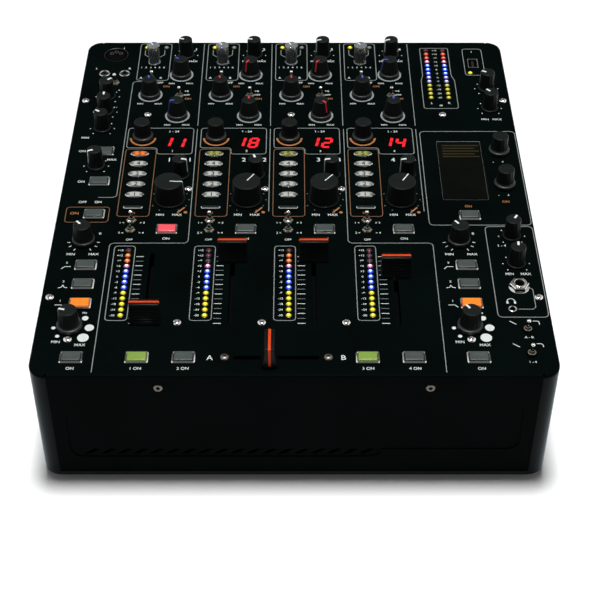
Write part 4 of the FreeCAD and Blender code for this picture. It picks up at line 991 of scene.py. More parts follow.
def effect_buttons():
    """Oval buttons with a number each, where those of the back row are lit, and the select bars."""
    solids = solids_of("effect_buttons")
    ovals = [ends for ends in solids if depth(ends) > OVAL_LEAST]
    back_row = max(middle(ends)[1] for ends in ovals)
    shapes = {"amber": Shape(), "lime": Shape(), "plain": Shape()}
    lit = "amber"
    for ends in ovals:
        x, y = middle(ends)
        name = "plain"
        if abs(y - back_row) < NEAR:
            name = lit
            lit = "lime"
        oval_cap(shapes[name], ends)
        number = round((y - row(OVAL_ROW)) / OVAL_PITCH) + 1
        shapes[name].mesh_of(letters("= %d =" % number, OVAL_LABEL), x, y, ends[1][2] - 0.06, 2)
    plates = {"amber": OVAL_AMBER, "lime": OVAL_LIME, "plain": SILVER}
    for name, shape in shapes.items():
        materials = [CHROME, plates[name], DARK_INK]
        make("oval_caps_" + name, shape, materials, "effect_buttons", ["effect_buttons"])
    bars = Shape()
    for ends in solids:
        if depth(ends) <= OVAL_LEAST:
            bar_cap(bars, ends)
    make("select_bars", bars, [SILVER, SMOKE], "effect_buttons", ["effect_buttons"])


# Toggles
def lever(shape, x, y, top, cover):
    """Tapered lever with a round tip."""
    height = top - PANEL + cover
    tip = TIP_RADIUS + cover
    profile = [(STEM_RADIUS + cover, 0.1), (tip - 0.02, height - tip)]
    for step in range(1, 7):
        turn = math.radians(step * 14)
        profile.append((tip * math.cos(turn), height - tip + tip * math.sin(turn)))
    turned(shape, profile, x, y, PANEL, steps=24)


def toggles():
    """Levers, and the hexagonal nut and bush round each of them."""
    places = []
    for node in ("left_tone_toggles", "right_tone_toggles"):
        shape = Shape()
        for ends in solids_of(node):
            lever(shape, *middle(ends), ends[1][2], 0)
            places.append(middle(ends))
        make(node + "_levers", shape, [CHROME], node, [node])
    shape = Shape()
    for ends in solids_of("control_bodies"):
        if ends[1][2] > PANEL + LEVER_LEAST:
            lever(shape, *middle(ends), ends[1][2], LEVER_COVER)
            places.append(middle(ends))
    make("fixed_levers", shape, [CHROME], "chassis")
    nut = [(0, -FOOT_SINK), (0, NUT_HEIGHT - 0.3), (0.35, NUT_HEIGHT), (1.0, NUT_HEIGHT), (1.0, -FOOT_SINK)]
    bush = [(BUSH_RADIUS, -FOOT_SINK), (BUSH_RADIUS, BUSH_HEIGHT - 0.2), (BUSH_RADIUS - 0.2, BUSH_HEIGHT)]
    bush += [(BUSH_BORE + 0.1, BUSH_HEIGHT), (BUSH_BORE, BUSH_HEIGHT - 0.1), (BUSH_BORE, -FOOT_SINK)]
    nuts = Shape()
    for x, y in places:
        black = x > CURVE_START and y < row(CURVE_BACK)
        stack(nuts, hexagon_inset(NUT_FLAT), nut, x, y, PANEL, 1 if black else 0, True)
        tube(nuts, bush, x, y, PANEL, steps=32)
    make("toggle_nuts", nuts, [NICKEL, BLACK_PLASTIC_AND_PAINTED_SHADE], "chassis")


# Lamps: colours of the lens, of its hot middle and of the light on the panel
LAMPS = {
    "yellow": ((0.52, 0.45, 0.004), (1.0, 0.96, 0.06), (0.07, 0.06, 0.0)),
    "soft": ((0.30, 0.27, 0.02), (0.62, 0.60, 0.09), (0.03, 0.03, 0.0)),
    "blue": ((0.05, 0.12, 0.95), (0.62, 0.92, 1.0), (0.006, 0.012, 0.45)),
    "pale": ((0.20, 0.18, 0.50), (0.75, 0.72, 0.95), (0.02, 0.02, 0.14)),
    "pink": ((0.50, 0.12, 0.30), (1.0, 0.90, 0.95), (0.16, 0.03, 0.10)),
    "orange": ((0.60, 0.10, 0.02), (1.0, 0.36, 0.08), (0.14, 0.02, 0.0)),
    "red": ((0.50, 0.04, 0.03), (1.0, 0.20, 0.12), (0.10, 0.01, 0.01)),
    "rose": ((0.05, 0.015, 0.03), (0.12, 0.035, 0.06), (0.008, 0.003, 0.006)),
    "off": ((0.05, 0.008, 0.010), (0.10, 0.015, 0.02), (0.004, 0.001, 0.001)),
    "clear": ((0.10, 0.11, 0.105), (0.19, 0.21, 0.20), (0.006, 0.006, 0.006)),
}
METER = ["yellow"] * 5 + ["blue"] * 4 + ["pink", "orange", "orange", "off"]
QUIET_METER = ["yellow"] * 5 + ["blue"] * 4 + ["pink", "rose", "rose", "off"]
MAIN_METER = ["soft"] * 4 + ["pale"] * 2 + ["blue"] * 3 + ["pink", "red", "red", "off"]
QUIET_CHANNELS = (1, 3)
METER_LEAST = 5
INPUT_LAMP_REACH = 15.0
LAMP_CORE = 1.0
LAMP_SPILL = 2.15
LAMP_LIMIT = 5.0
# Windows: the solid's unseen rim, the pane's corner, edge and depth, and the least length of the screen
PANE_RIM = 4.0
PANE_CORNER = 0.9
PANE_EDGE = 0.15
PANE_DEPTH = 3.0
SCREEN_LEAST = 25.0


def lamp(shape, ends):
    """Lens, hot middle and the light that spills on the panel, as material numbers 0, 1 and 2."""
    place = (*middle(ends), PANEL)
    radius = width(ends) / 2
    rise = ends[1][2] - PANEL
    lens = [(radius, -1), (radius, 0.25)]
    lens += [(radius * 0.9, rise * 0.7), (radius * 0.7, rise * 0.92), (0.5, rise)]
    turned(shape, lens, *place, 0, 28)
    turned(shape, [(LAMP_CORE, rise * 0.5), (LAMP_CORE, rise * 0.97), (0.5, rise + 0.06)], *place, 1, 20)
    turned(shape, [(LAMP_SPILL, -INK_SINK), (LAMP_SPILL - 0.2, INK)], *place, 2, 28)


def lamp_colours(lenses):
    """Colour of each lamp: meters by their height in the column, the others by place."""
    columns = {}
    for ends in lenses:
        columns.setdefault(round(middle(ends)[0]), []).append(ends)
    coloured = []
    meters = 0
    for x in sorted(columns):
        column = sorted(columns[x], key=lambda ends: ends[0][1])
        if len(column) > METER_LEAST:
            scale = QUIET_METER if meters in QUIET_CHANNELS else METER
            if meters >= CHANNELS:
                scale = MAIN_METER
            meters += 1
            coloured += list(zip(column, scale))
        else:
            for ends in column:
                beside = min(abs(middle(ends)[0] - border) for border in fader_columns)
                coloured.append((ends, "yellow" if beside > INPUT_LAMP_REACH else "clear"))
    return coloured


def lamps_and_windows():
    lenses = []
    panes = Shape()
    screen = Shape()
    levels = [(0, -PANE_DEPTH), (0, -PANE_EDGE), (PANE_EDGE, 0)]
    for ends in solids_of("indicator_lenses"):
        if width(ends) < LAMP_LIMIT:
            lenses.append(ends)
            continue
        length = width(ends) - PANE_RIM
        outline = box_inset(length, depth(ends) - PANE_RIM, PANE_CORNER)
        stack(screen if length > SCREEN_LEAST else panes, outline, levels, *middle(ends), PANEL)
    make("window_panes", panes, [GLASS], "chassis", ["indicator_lenses"])
    make("screen_pane", screen, [SCREEN], "chassis", ["indicator_lenses"])
    shapes = {}
    for ends, name in lamp_colours(lenses):
        lamp(shapes.setdefault(name, Shape()), ends)
    for name, shape in shapes.items():
        lens, core, spill = LAMPS[name]
        materials = [
            glowing(name + "_lens", tuple(0.4 * value for value in lens), lens, 0.8),
            glowing(name + "_core", tuple(0.4 * value for value in core), core, 1.0),
            glowing(name + "_spill", tuple(0.2 * value for value in spill), spill, 0.7),
        ]
        make("lamps_" + name, shape, materials, "chassis", ["indicator_lenses"])


# Seven-bar digits: the ends of each bar, and the bars that each number lights
BARS = {
    "top": ((0, 1), (1, 1)),
    "middle": ((0, 0.5), (1, 0.5)),
    "bottom": ((0, 0), (1, 0)),
    "upper_left": ((0, 0.5), (0, 1)),
    "upper_right": ((1, 0.5), (1, 1)),
    "lower_left": ((0, 0), (0, 0.5)),
    "lower_right": ((1, 0), (1, 0.5)),
}
DIGITS = {
    "1": ("upper_right", "lower_right"),
    "2": ("top", "upper_right", "middle", "lower_left", "bottom"),
    "4": ("upper_left", "upper_right", "middle", "lower_right"),
    "8": tuple(BARS),
}
DIGIT_WIDTH = 5.4
DIGIT_HEIGHT = 10.2
DIGIT_LEAN = 1.0
DIGIT_BAR = 2.0
DIGIT_GAP = 0.35
DIGIT_PLACES = [(-6.2, 233.4), (3.2, 232.4)]
READINGS = ["11", "18", "12", "14"]
# Screen marks, of two lengths by turns
MARKS = 5
MARK_LEFT = 105
MARK_RIGHT = (131, 128)
MARK_ROW = 229
MARK_PITCH = 3.2
MARK_LINE = 1.4


def digit(shape, number, x, distance):
    """One seven-bar digit, leaning to the right, about its middle."""
    for bar in DIGITS[number]:
        ends = []
        for across, up in BARS[bar]:
            lean = (up - 0.5) * 2 * DIGIT_LEAN
            end_x = x + (across - 0.5) * DIGIT_WIDTH + lean
            ends.append(Vector((end_x, distance + (up - 0.5) * DIGIT_HEIGHT)))
        along = (ends[1] - ends[0]).normalized() * DIGIT_GAP
        stroke(shape, [ends[0] + along, ends[1] - along], DIGIT_BAR)


def digits():
    """Red readings in the four windows, and faint marks in the screen."""
    shape = Shape()
    for channel in range(CHANNELS):
        x, y = centre_of("channel_%d_wet_knob" % (channel + 1))
        for number, (across, distance) in zip(READINGS[channel], DIGIT_PLACES):
            digit(shape, number, x + across, distance)
    make("digit_bars", shape, [DIGIT_LIT], "chassis")
    marks = Shape()
    for line in range(MARKS):
        distance = MARK_ROW - MARK_PITCH * line
        stroke(marks, [(MARK_LEFT, distance), (MARK_RIGHT[line % 2], distance)], MARK_LINE)
    make("screen_marks", marks, [AMBER_MARK], "chassis")


# Sockets of the panel, told apart by their width
MICROPHONE_OVER = 20.0
HEXAGON_OVER = 13.0
PHONO_OVER = 11.0
DATA_OVER = 9.0
# Round parts: material number, number of sides, whether it has a hole, and pairs of radius and height
MICROPHONE = [
    (0, 56, True, [(11.0, -2), (9.4, -2), (9.35, -0.3), (9.1, -0.1), (8.7, -0.3), (8.6, -16), (11.0, -16)]),
    (0, 56, False, [(10.9, -18), (10.9, -15.9)]),
    (3, 48, False, [(7.2, -16), (7.2, -0.8), (6.9, -0.45), (6.4, -0.4)]),
]
MICROPHONE_CONTACT = [(2, 20, True, [(1.5, -1), (1.5, -0.3), (1.15, -0.3), (1.15, -1)])]
MICROPHONE_TURNS = (30, 90, 150)
CONTACT_CIRCLE = 4
PHONO = [
    (1, 40, True, [(4.1, -3), (4.1, 0.5), (3.85, 0.8), (3.3, 0.8), (3.05, 0.5), (3.0, -3)]),
    (0, 40, False, [(3.9, -10), (3.9, -2.9), (1.7, -2.9), (1.6, -8)]),
]
WASHER = [(6.5, -FOOT_SINK), (6.5, 0.35), (6.3, 0.5), (4.2, 0.5), (4.2, -FOOT_SINK)]
HEXAGON_FLAT = 5.4
# Jacks: radius of the nut, radius of the bore and depth of the bore
LARGE_JACK = (4.5, 3.0, 20.0)
SMALL_JACK = (2.9, 1.8, 12.0)
# Data socket: its size, and pairs of inset and height
DATA_SIZE = (7.8, 12, 1.0)
DATA_RING = [(0, -1), (0, -0.1), (0.1, 0), (0.35, 0), (0.45, -0.1), (0.45, -1)]
DATA_WALL = [(0.1, -14), (0.1, -0.6), (0.7, -0.6), (0.7, -14)]
DATA_FLOOR = ((7.6, 11.8, 0.9), (-14.5, -12))
DATA_TONGUE = ((2.0, 9.2, 0.3), (-12.5, -1.5))


def panel_sockets():
    """Sockets in plastic, bright metal, dull metal and dark plastic, as numbers 0 to 3."""
    shape = Shape()
    for ends in solids_of("panel_sockets"):
        x, y = middle(ends)
        rise = ends[1][2] - PANEL
        if width(ends) > MICROPHONE_OVER:
            round_parts(shape, MICROPHONE, x, y, PANEL)
            for across, along in contact_places(MICROPHONE_TURNS):
                round_parts(shape, MICROPHONE_CONTACT, x + across, y + along, PANEL)
        elif width(ends) > HEXAGON_OVER:
            hexagon_jack(shape, x, y, rise)
        elif width(ends) > PHONO_OVER:
            round_parts(shape, PHONO, x, y, PANEL)
        elif width(ends) > DATA_OVER:
            data_socket(shape, x, y)
        else:
            jack(shape, x, y, rise, *SMALL_JACK)
    materials = [BLACK_SOCKET, CHROME, STEEL, BLACK_PLASTIC_AND_PAINTED_SHADE]
    make("panel_socket_faces", shape, materials, "chassis", ["panel_sockets"])


def contact_places(turns):
    angles = [math.radians(turn) for turn in turns]
    return [(CONTACT_CIRCLE * math.cos(angle), CONTACT_CIRCLE * math.sin(angle)) for angle in angles]


def round_parts(shape, parts, x, y, z, ring=upright):
    for number, steps, hole, profile in parts:
        turned(shape, profile, x, y, z, number, steps, ring, hole)


def jack(shape, x, y, rise, radius, bore, drop):
    """Round nut with a rounded edge and a deep bore."""
    nut = [(radius, -FOOT_SINK), (radius, rise - 0.6), (radius - 0.2, rise - 0.15), (radius - 0.5, rise)]
    nut += [(bore + 0.35, rise), (bore + 0.1, rise - 0.2), (bore, rise - 0.6), (bore, -FOOT_SINK)]
    tube(shape, nut, x, y, PANEL, 1, 48)
    liner = [(bore + 0.8, -0.01), (bore - 0.02, -0.01), (bore - 0.02, -drop), (bore + 0.8, -drop)]
    tube(shape, liner, x, y, PANEL, 0, 40)
    turned(shape, [(bore + 0.7, -drop - 1), (bore + 0.7, -drop + 0.1)], x, y, PANEL, 0, 40)


def hexagon_jack(shape, x, y, rise):
    """Headphone jack: a washer, a hexagonal nut and a round collar with its bore."""
    nut = [(0, 0.3), (0, rise - 1.3), (0.6, rise - 0.9), (1.8, rise - 0.9), (1.8, 0.3)]
    stack(shape, hexagon_inset(HEXAGON_FLAT), nut, x, y, PANEL, 1, True)
    tube(shape, WASHER, x, y, PANEL, 1, 48)
    jack(shape, x, y, rise, *LARGE_JACK)


def data_socket(shape, x, y):
    outline = box_inset(*DATA_SIZE, share=0.5)
    stack(shape, outline, DATA_RING, x, y, PANEL, 1, True)
    stack(shape, outline, DATA_WALL, x, y, PANEL, 0, True)
    for size, heights in (DATA_FLOOR, DATA_TONGUE):
        shape.loft([upright(box_outline(*size), x, y, PANEL, rise) for rise in heights])


# Sockets of the back, told apart by their width, with profiles of radius and distance behind the panel
INLET_OVER = 30.0
OUTPUT_OVER = 20.0
JACK_OVER = 13.0
REAR_PHONO_OVER = 8.0
PHONO_FLANGE = [(5.6, 0), (5.6, 0.9), (5.3, 1.2), (4.0, 1.2), (4.0, 0)]
PHONO_PLUG = [(3.0, -2), (3.0, 5.0), (1.6, 5.4), (1.5, 3.0)]
OUTPUT_FLANGE = [(13.0, 0), (13.0, 0.8), (12.6, 1.2), (9.9, 1.2), (9.5, 0.9)]
OUTPUT_WALL = [(9.4, -13.8), (11.2, -13.8), (11.2, 0)]
OUTPUT = [
    (0, 56, True, OUTPUT_FLANGE + OUTPUT_WALL),
    (0, 56, False, [(11.2, -16.8), (11.2, -13.7)]),
]
OUTPUT_CONTACT = [(1, 20, False, [(1.25, -14), (1.25, -5.5), (0.9, -4.9), (0.4, -4.8)])]
OUTPUT_TURNS = (-30, 90, 210)
REAR_NUT = [(6.0, 0), (6.0, 1.7), (5.7, 2.2), (5.2, 2.4), (3.8, 2.4), (3.4, 2.1), (3.2, 1.5), (3.2, 0)]
REAR_JACK = [
    (1, 48, True, REAR_NUT),
    (0, 40, True, [(4.0, 0), (3.2, 0), (3.2, -24), (4.0, -24)]),
    (0, 40, False, [(4.0, -25), (4.0, -23.9)]),
]
# Mains inlet: its size, pairs of inset and distance, the floor, and the contacts with their places
INLET_SIZE = (34.0, 26.2, 3.0)
INLET_WALL = [
    (0, 0), (0, 0.9), (0.3, 1.2), (4.6, 1.2), (4.8, 0.9), (4.8, -14.8), (3.2, -14.8), (3.2, 0),
]
INLET_FLOOR = ((27.6, 19.8, 1.4), (-17.8, -14.7))
INLET_CONTACT = ((2.0, 4.0, 0.4), (-15, -5.8))
INLET_PLACES = [(-7, -2), (0, 2), (7, -2)]


def rear_sockets():
    """Sockets of the back: plastic, bright metal, red and white rings are numbers 0 to 3."""
    shape = Shape()
    panel_back = box_of("rear_panel")[1][1]
    phonos = 0
    for low, high in solids_of("rear_sockets"):
        x = (low[0] + high[0]) / 2
        z = (low[2] + high[2]) / 2
        size = high[0] - low[0]
        if size > INLET_OVER:
            inlet(shape, x, panel_back, z)
        elif size > OUTPUT_OVER:
            round_parts(shape, OUTPUT, x, panel_back, z, facing_back)
            for across, up in contact_places(OUTPUT_TURNS):
                round_parts(shape, OUTPUT_CONTACT, x + across, panel_back, z + up, facing_back)
        elif size > JACK_OVER:
            round_parts(shape, REAR_JACK, x, panel_back, z, facing_back)
        elif size > REAR_PHONO_OVER:
            rear_phono(shape, x, panel_back, z, 2 + phonos // 2 % 2)
            phonos += 1
        else:
            earth_post(shape, x, panel_back, z, high[1] - panel_back)
    materials = [BLACK_SOCKET, CHROME, RED_SOCKET, WHITE_SOCKET]
    make("rear_socket_faces", shape, materials, "chassis", ["rear_sockets"])


def earth_post(shape, x, y, z, length):
    profile = [(3.0, 0), (3.0, length - 2.5), (2.6, length - 2.3), (2.6, length - 2), (3.0, length - 1.8)]
    profile += [(3.0, length - 0.3), (2.7, length), (1.2, length), (1.0, length - 0.6)]
    turned(shape, profile, x, y, z, 1, 40, facing_back)


def rear_phono(shape, x, y, z, number):
    reach = box_of("rear_sockets")[1][1] - y
    barrel = [(4.1, -2), (4.1, reach - 0.3), (3.8, reach)]
    barrel += [(3.2, reach), (3.0, reach - 0.4), (2.9, 1.0), (2.9, -2)]
    tube(shape, PHONO_FLANGE, x, y, z, number, 40, facing_back)
    tube(shape, barrel, x, y, z, 1, 40, facing_back)
    turned(shape, PHONO_PLUG, x, y, z, number, 36, facing_back)


def inlet(shape, x, y, z):
    stack(shape, box_inset(*INLET_SIZE, 0.4, 0.5), INLET_WALL, x, y, z, 0, True, facing_back)
    size, reaches = INLET_FLOOR
    shape.loft([facing_back(box_outline(*size), x, y, z, along) for along in reaches], 0)
    size, reaches = INLET_CONTACT
    for across, up in INLET_PLACES:
        shape.loft([facing_back(box_outline(*size), x + across, y, z + up, along) for along in reaches], 1)


# Print of one channel, from its fader: frames as left, right, front and back, labels as text, x and row
INPUT_FRAME = (-26.7, -2.7, 311, 361.5)
INPUT_MIDDLE = -15.3
INPUT_LINE = [(7.5, 352.6), (7.5, 346), (4, 342.5)]
EFFECT_FRAME = (-27, -5.4, 149.6, 224.8)
METER_FRAME = (-25.4, -11.7, 48, 119)
WINDOW_PATH = [(-27, 226.3), (-5, 226.3), (-5, 219), (20, 219), (20, 250), (-27, 250)]
# Mark at the wide knob's far end: a line, a dot as x, row and radius, and the line's breadth
WET_LINE = [(13.5, 153.6), (18.2, 159.2)]
WET_DOT = (19, 154, 1.2)
WET_BREADTH = 1.1
CHANNEL_WORDS = [
    ("A", -23.5, 314.5), ("B", -8.5, 314.5), ("OFF", -9, 308), ("+6", 12, 297), ("MAX", 15, 337),
    ("MIN", 2.8, 337), ("1 - 24", 6, 246), ("MIN", 2, 151.4), ("MAX", 13.5, 151.4), ("ON", 7.6, 126.6),
]
CHANNEL_SMALL_WORDS = [
    ("OFF", 12.5, 292), ("1 <", -22.8, 143), ("> 3", -9.2, 143), ("2 <", -22.8, 132.6), ("> 4", -9.2, 132.6),
    ("OFF", -16.6, 125.6),
]
CHANNEL_ORANGE_WORDS = [("ON", -3.5, 303), ("ON", 13.5, 287)]
SELECT_WORDS = [("ON", -17, 153.3)]
# The channel's number: x, row and height
CHANNEL_NUMBERS = [(16.5, 353.5, 3.0), (6, 222.6, LABEL), (4.5, 212.5, 4.2), (19, 212.5, 4.2)]
INPUT_WORDS = [(str(step + 1), 3.4 * step - 24, 328.5) for step in range(6)]
SCALE = ["-30", "-24", "-18", "-12", "-9", "-6", "-3", "0", "+3", "+6", "+9", "+12", "+15"]
SCALE_WORDS = [(text, -21.2, 52.7 + 5.17 * step) for step, text in enumerate(SCALE)]
TONE_WORDS = [("MIN", -6.8, -11.4), ("MAX", 6.8, -11.4)]
TONE_RING = 8.3
ENCODER_RING = 8.8
# Dots of the wide knob: radius, reach and pitch
WET_DOTS = (13.0, 150, 30)
TICKS = 15
TICK_ROW = 45.4
TICK_PITCH = 4.5
TICK_ENDS = (-10.5, -5.6)


def channel_print(inks, channel):
    """Lines, rings, scales and labels of one channel."""
    white, grey, line, orange, brown = inks
    x = fader_columns[channel]
    name = "channel_%d_" % (channel + 1)
    frame_line(line, INPUT_FRAME, x, 3.0)
    frame_line(brown, EFFECT_FRAME, x)
    frame_line(line, METER_FRAME, x)
    stroke(line, bend(shifted(WINDOW_PATH, x), CORNER, True), LINE, True)
    for side in (-1, 1):
        stroke(line, [(x + INPUT_MIDDLE + side * across, distance) for across, distance in INPUT_LINE])
    words(white, CHANNEL_WORDS, x)
    words(white, CHANNEL_SMALL_WORDS + INPUT_WORDS, x, SMALL_LABEL)
    words(white, SCALE_WORDS, x, SCALE_LABEL)
    words(orange, CHANNEL_ORANGE_WORDS, x)
    words(orange, SELECT_WORDS, x, SMALL_LABEL)
    for across, distance, height in CHANNEL_NUMBERS:
        label(white, str(channel + 1), x + across, distance, height)
    dotted(white, *centre_of(name + "trim_knob"))
    dotted(grey, *centre_of(name + "wet_knob"), *WET_DOTS)
    for kind in TONE_KNOBS:
        knob_x, knob_y = centre_of(name + kind)
        distance = knob_y - FRONT
        stroke(line, arc_path(knob_x, distance, TONE_RING, 0, 354, 59), RING_LINE, True)
        for text, across, along in TONE_WORDS:
            label(white, text, knob_x + across, distance + along, SMALL_LABEL)
    knob_x, knob_y = centre_of(name + "step_encoder")
    stroke(orange, arc_path(knob_x, knob_y - FRONT, ENCODER_RING, 92, 268, 44), RING_LINE)
    stroke(orange, shifted(WET_LINE, x), WET_BREADTH)
    across, distance, radius = WET_DOT
    dot(orange, x + across, distance, radius)
    for step in range(TICKS):
        distance = TICK_ROW + TICK_PITCH * step
        stroke(grey if step % 2 else white, [(x + end, distance) for end in TICK_ENDS])


# Long lines that part the panel into strips: bent ones as points, straight ones as x, front and back row
BENT_LINES = [
    [(-121.5, 3), (-121.5, 122), (-70, 122), (-70, 249)],
    [(91.2, 3), (91.2, 122), (35.5, 122), (35.5, 249)],
    [(-134, 170), (-121.5, 170), (-121.5, 309.5), (-115, 309.5)],
]
STRAIGHT_LINES = [(x, 155, 249) for x in (-17.3, 87.7)] + [(x, 253, 361) for x in (-70, -17.3, 35.2, 87.7)]


def strip_lines(line):
    for path in BENT_LINES:
        stroke(line, bend(path, STRIP_CORNER))
    for x, front, back in STRAIGHT_LINES:
        stroke(line, [(x, front), (x, back)])


# Print of one filter strip, with x measured from its knobs
FILTER_TICKS = (-148, -121, -96, 96, 121, 148)
FILTER_TICK_ENDS = (8.8, 10.8)
FILTER_WORDS = [
    ("MIN", -7.2, 110.8), ("MAX", 7.8, 110.8), ("MIN", -7.2, 29), ("MAX", 8, 26.4), ("ON", 4, 6.3),
]
FILTER_ZERO = (10, 8)
FILTER_UNIT = [("Hz", 8, 55)]
FILTER_DOTS = [(-9.9, 41.3, 1.3), (-6.7, 34, 1.3), (8.8, 50, 2.0), (12.2, 41.5, 2.9), (9.2, 32.7, 3.6)]
# Signs of the three filter types from front to back, about their middles
TYPE_SIGNS = [
    [(-3, 1.2), (1, 1.2), (3, -1)],
    [(-3, -1), (-1, -0.6), (0, 1.4), (1, -0.6), (3, -1)],
    [(-3, -1), (-1, 1.2), (3, 1.2)],
]
TYPE_COLUMN = -8.7
TYPE_ROW = 63
TYPE_PITCH = 18.2


def filter_print(white, side):
    """Labels, ticks, signs and growing dots of one filter strip."""
    x, y = centre_of(side + "_resonance_knob")
    for turn in FILTER_TICKS:
        stroke(white, [on_circle(x, y, radius, turn) for radius in FILTER_TICK_ENDS])
    words(white, FILTER_WORDS, x)
    words(white, FILTER_UNIT, x, SMALL_LABEL)
    label(white, "0", x + FILTER_ZERO[0], y - FRONT + FILTER_ZERO[1])
    for step, sign in enumerate(TYPE_SIGNS):
        distance = TYPE_ROW + TYPE_PITCH * step
        label(white, str(step + 1), x + TYPE_COLUMN, distance + 3, SMALL_LABEL)
        stroke(white, shifted(sign, x + TYPE_COLUMN, distance - 2))
    for across, distance, radius in FILTER_DOTS:
        dot(white, x + across, distance, radius)


# Print of the left strip
LEFT_WORDS = [
    ("1", -132, 355), ("L", -150.5, 327), ("R", -125.3, 327), ("+", -131, 298), ("-", -131, 276),
    ("MIN", -150, 238.5), ("ON", -150.5, 222.5), ("MAX", -128.5, 212.5), ("ON", -147.5, 187.5),
    ("OFF", -144, 165), ("ON", -133.5, 165),
]
SHIFT_FRAME = (-154, -125, 143.5, 159.5)
SHIFT_WORDS = [("ON", -148.3, 153)]
SHIFT_LABEL = 2.6


def left_print(white, orange, brown):
    words(white, LEFT_WORDS)
    words(orange, SHIFT_WORDS, height=SHIFT_LABEL)
    frame_line(brown, SHIFT_FRAME)


# Print of the right strip
RIGHT_WORDS = [
    ("L", 101.8, 281.5), ("R", 114.8, 281.5), ("1", 137, 350), ("MIN", 139, 261), ("MAX", 148, 261),
    ("-      +", 143.5, 210), ("-      +", 143.5, 172.5), ("1 - 4", 136.5, 119.5), ("MIN", 138.5, 91.5),
    ("MAX", 149, 91.5),
]
RIGHT_SMALL_WORDS = [("dB", 108.3, 278.5), ("A - B", 144, 33.2), ("1 - 4", 144, 11.8)]
RIGHT_ORANGE_WORDS = [("ON", 144, 165.5), ("ON", 118, 160.4)]
MAIN_SCALE_WORDS = [(text, 108.3, 288.5 + 5.29 * step) for step, text in enumerate(SCALE)]
MAIN_METER_PATH = [
    (95.7, 274.6), (121, 274.6), (121, 311), (118.9, 317),
    (118.9, 355), (97.3, 355), (97.3, 317), (95.7, 311),
]
DATA_FRAME = (130, 144.7, 318, 354)
MENU_FRAME = (90.3, 158.6, 140.5, 246)
# Painted highlight round the screen window's bevel, as left, right, front and back
SCREEN_HIGHLIGHT_FRAME = (101.5, 132.5, 167.5, 233.8)
PHONES_FRAME = (127, 158.6, 51, 139)
PHONES_SIGN = (136.5, 65.6, 2.4)
PHONES_PAD = 2.2
PHONES_BRACKET = [(148.5, 79), (151.5, 77), (151.5, 60), (150, 58.3), (140.5, 58.3)]
CURVE_SIGN_ROWS = (46, 26)
SLOW_CURVE = [(133.5, 1.5), (137.5, -1.5)]
FAST_CURVE = [(148, 1.5), (151.8, 1.5), (151.8, -1.5)]


def right_print(white, grey, line, orange):
    words(white, RIGHT_WORDS)
    words(white, RIGHT_SMALL_WORDS, height=SMALL_LABEL)
    words(white, MAIN_SCALE_WORDS, height=SCALE_LABEL)
    words(orange, RIGHT_ORANGE_WORDS)
    stroke(line, bend(MAIN_METER_PATH, 2, True), LINE, True)
    frame_line(line, DATA_FRAME)
    frame_line(line, MENU_FRAME, corner=STRIP_CORNER)
    frame_line(line, PHONES_FRAME, corner=STRIP_CORNER)
    # Painted highlights of the screen window's bevel: a faint grey frame round it, and a brighter line along
    # its back edge
    frame_line(grey, SCREEN_HIGHLIGHT_FRAME, corner=0.6, breadth=SCREEN_HIGHLIGHT_BREADTH)
    left, right, front, back = SCREEN_HIGHLIGHT_FRAME
    stroke(line, [(left, back), (right, back)], SCREEN_BACK_HIGHLIGHT)
    x, distance, radius = PHONES_SIGN
    stroke(white, arc_path(x, distance, radius, -100, 100, 24))
    for side in (-radius, radius):
        stroke(white, [(x + side, distance), (x + side, distance - PHONES_PAD)], 1.3)
    stroke(line, bend(PHONES_BRACKET, 1.2))
    for distance in CURVE_SIGN_ROWS:
        stroke(white, shifted(SLOW_CURVE, 0, distance))
        stroke(white, bend(shifted(FAST_CURVE, 0, distance), 1.8))


# Print of the front row: the ends of the crossfader, and the numbered buttons between the filter strips
CROSS_WORDS = [("A", -51.2, 15.5), ("B", 29.8, 15.5)]
CROSS_LABEL = 4
FRONT_BUTTON_ROW = 15
FRONT_WORD_ROW = 6.3
FRONT_LEFT = -121
FRONT_RIGHT = 91


def front_row_print(white):
    words(white, CROSS_WORDS, height=CROSS_LABEL)
    buttons = [middle(ends) for ends in solids_of("push_buttons")]
    front = [x for x, y in buttons if abs(y - row(FRONT_BUTTON_ROW)) < NEAR]
    for step, x in enumerate(x for x in front if FRONT_LEFT < x < FRONT_RIGHT):
        label(white, "%d ON" % (step + 1), x, FRONT_WORD_ROW)


def panel_print():
    finishes = {
        "white": WHITE_INK,
        "grey": GREY_INK,
        "lines": LINE_INK,
        "orange": ORANGE_INK,
        "brown": BROWN_INK,
    }
    inks = [Shape() for name in finishes]
    white, grey, line, orange, brown = inks
    strip_lines(line)
    for channel in range(CHANNELS):
        channel_print(inks, channel)
    filter_print(white, "left")
    filter_print(white, "right")
    left_print(white, orange, brown)
    right_print(white, grey, line, orange)
    front_row_print(white)
    for ends in side_knob_ends():
        if width(ends) < SLIM_LIMIT:
            dotted(white, *middle(ends))
    for (name, material), shape in zip(finishes.items(), inks):
        make("print_" + name, shape, [material], "chassis")


# Stage, light and camera
def floor_and_light():
    mesh = bpy.data.meshes.new("floor")
    corners = [(-1, -1), (1, -1), (1, 1), (-1, 1)]
    mesh.from_pydata([(x * FLOOR_REACH, y * FLOOR_REACH, 0) for x, y in corners], [], [(0, 1, 2, 3)])
    floor = bpy.data.objects.new("floor", mesh)
    bpy.context.scene.collection.objects.link(floor)
    material = finish("pale_floor", (0.93, 0.93, 0.93), 0.9, 0.005, 0.02, 40.0, 3.0, Specular_IOR_Level=0.0,
                      Emission_Color=(1, 1, 1, 1))
    tree = material.node_tree
    rays = add_node(tree, "LightPath")
    glow = add_node(tree, "MapRange", To_Max=FLOOR_GLOW)
    linked(tree, rays, "Is Camera Ray", glow, "Value")
    linked(tree, glow, "Result", tree.nodes["Principled BSDF"], "Emission Strength")
    mesh.materials.append(material)
    key_light = bpy.data.lights.new("key", "AREA")
    key_light.size = KEY_SIZE
    key_light.energy = KEY_POWER
    key = bpy.data.objects.new("key", key_light)
    key.location = KEY_PLACE
    bpy.context.scene.collection.objects.link(key)


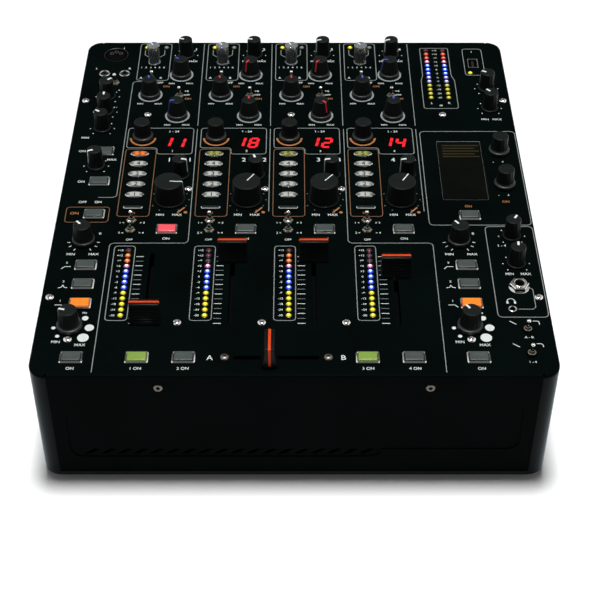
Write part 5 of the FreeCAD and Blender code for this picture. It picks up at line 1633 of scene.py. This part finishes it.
def worked_out(tree, operation, *sources):
    """Math node fed by pairs of a node and its output."""
    node = add_node(tree, "Math")
    node.operation = operation
    for entry, (source, output) in enumerate(sources):
        linked(tree, source, output, node, entry)
    return node


def surroundings():
    """White to the camera, softer as light. Reflections are white at both sides with a dark band between."""
    world = bpy.data.worlds.new("surroundings")
    bpy.context.scene.world = world
    world.use_nodes = True
    tree = world.node_tree
    rays = add_node(tree, "LightPath")
    seen = worked_out(tree, "ADD", (rays, "Is Camera Ray"), (rays, "Is Transmission Ray"))
    bright = worked_out(tree, "ADD", (seen, 0), (rays, "Is Glossy Ray"))
    bright.use_clamp = True
    level = add_node(tree, "MapRange", To_Min=AMBIENT, To_Max=1.0)
    linked(tree, bright, 0, level, "Value")
    parts = add_node(tree, "SeparateXYZ")
    linked(tree, add_node(tree, "TexCoord"), "Generated", parts, "Vector")
    sideways = worked_out(tree, "ABSOLUTE", (parts, "X"))
    card = add_node(tree, "MapRange", From_Min=SIDE_START, From_Max=SIDE_END,
                    To_Min=1.0 - SIDE_SHADE, To_Max=0.0)
    linked(tree, sideways, 0, card, "Value")
    shade = worked_out(tree, "MULTIPLY", (card, "Result"), (rays, "Is Glossy Ray"))
    strength = worked_out(tree, "SUBTRACT", (level, "Result"), (shade, 0))
    background = set_inputs(tree.nodes["Background"], Color=(1, 1, 1, 1))
    linked(tree, strength, 0, background, "Strength")


def camera():
    data = bpy.data.cameras.new("camera")
    data.lens = CAMERA_LENS
    data.sensor_width = CAMERA_SENSOR
    data.shift_x = CAMERA_SHIFT
    eye = bpy.data.objects.new("camera", data)
    eye.location = CAMERA_PLACE
    eye.rotation_euler = (math.radians(90 - CAMERA_PITCH), 0, 0)
    bpy.context.scene.collection.objects.link(eye)
    bpy.context.scene.camera = eye
    bpy.context.scene.view_settings.view_transform = "Standard"


paint_frame_nodes()
side_shells()
rubber_feet()
screw_heads()
channel_knobs()
filter_knobs()
fixed_knobs()
for channel in range(CHANNELS):
    fader("channel_%d_fader" % (channel + 1), False)
fader("crossfader", True)
square_buttons()
button_frames()
effect_buttons()
toggles()
lamps_and_windows()
digits()
panel_sockets()
rear_sockets()
panel_print()
floor_and_light()
surroundings()
camera()
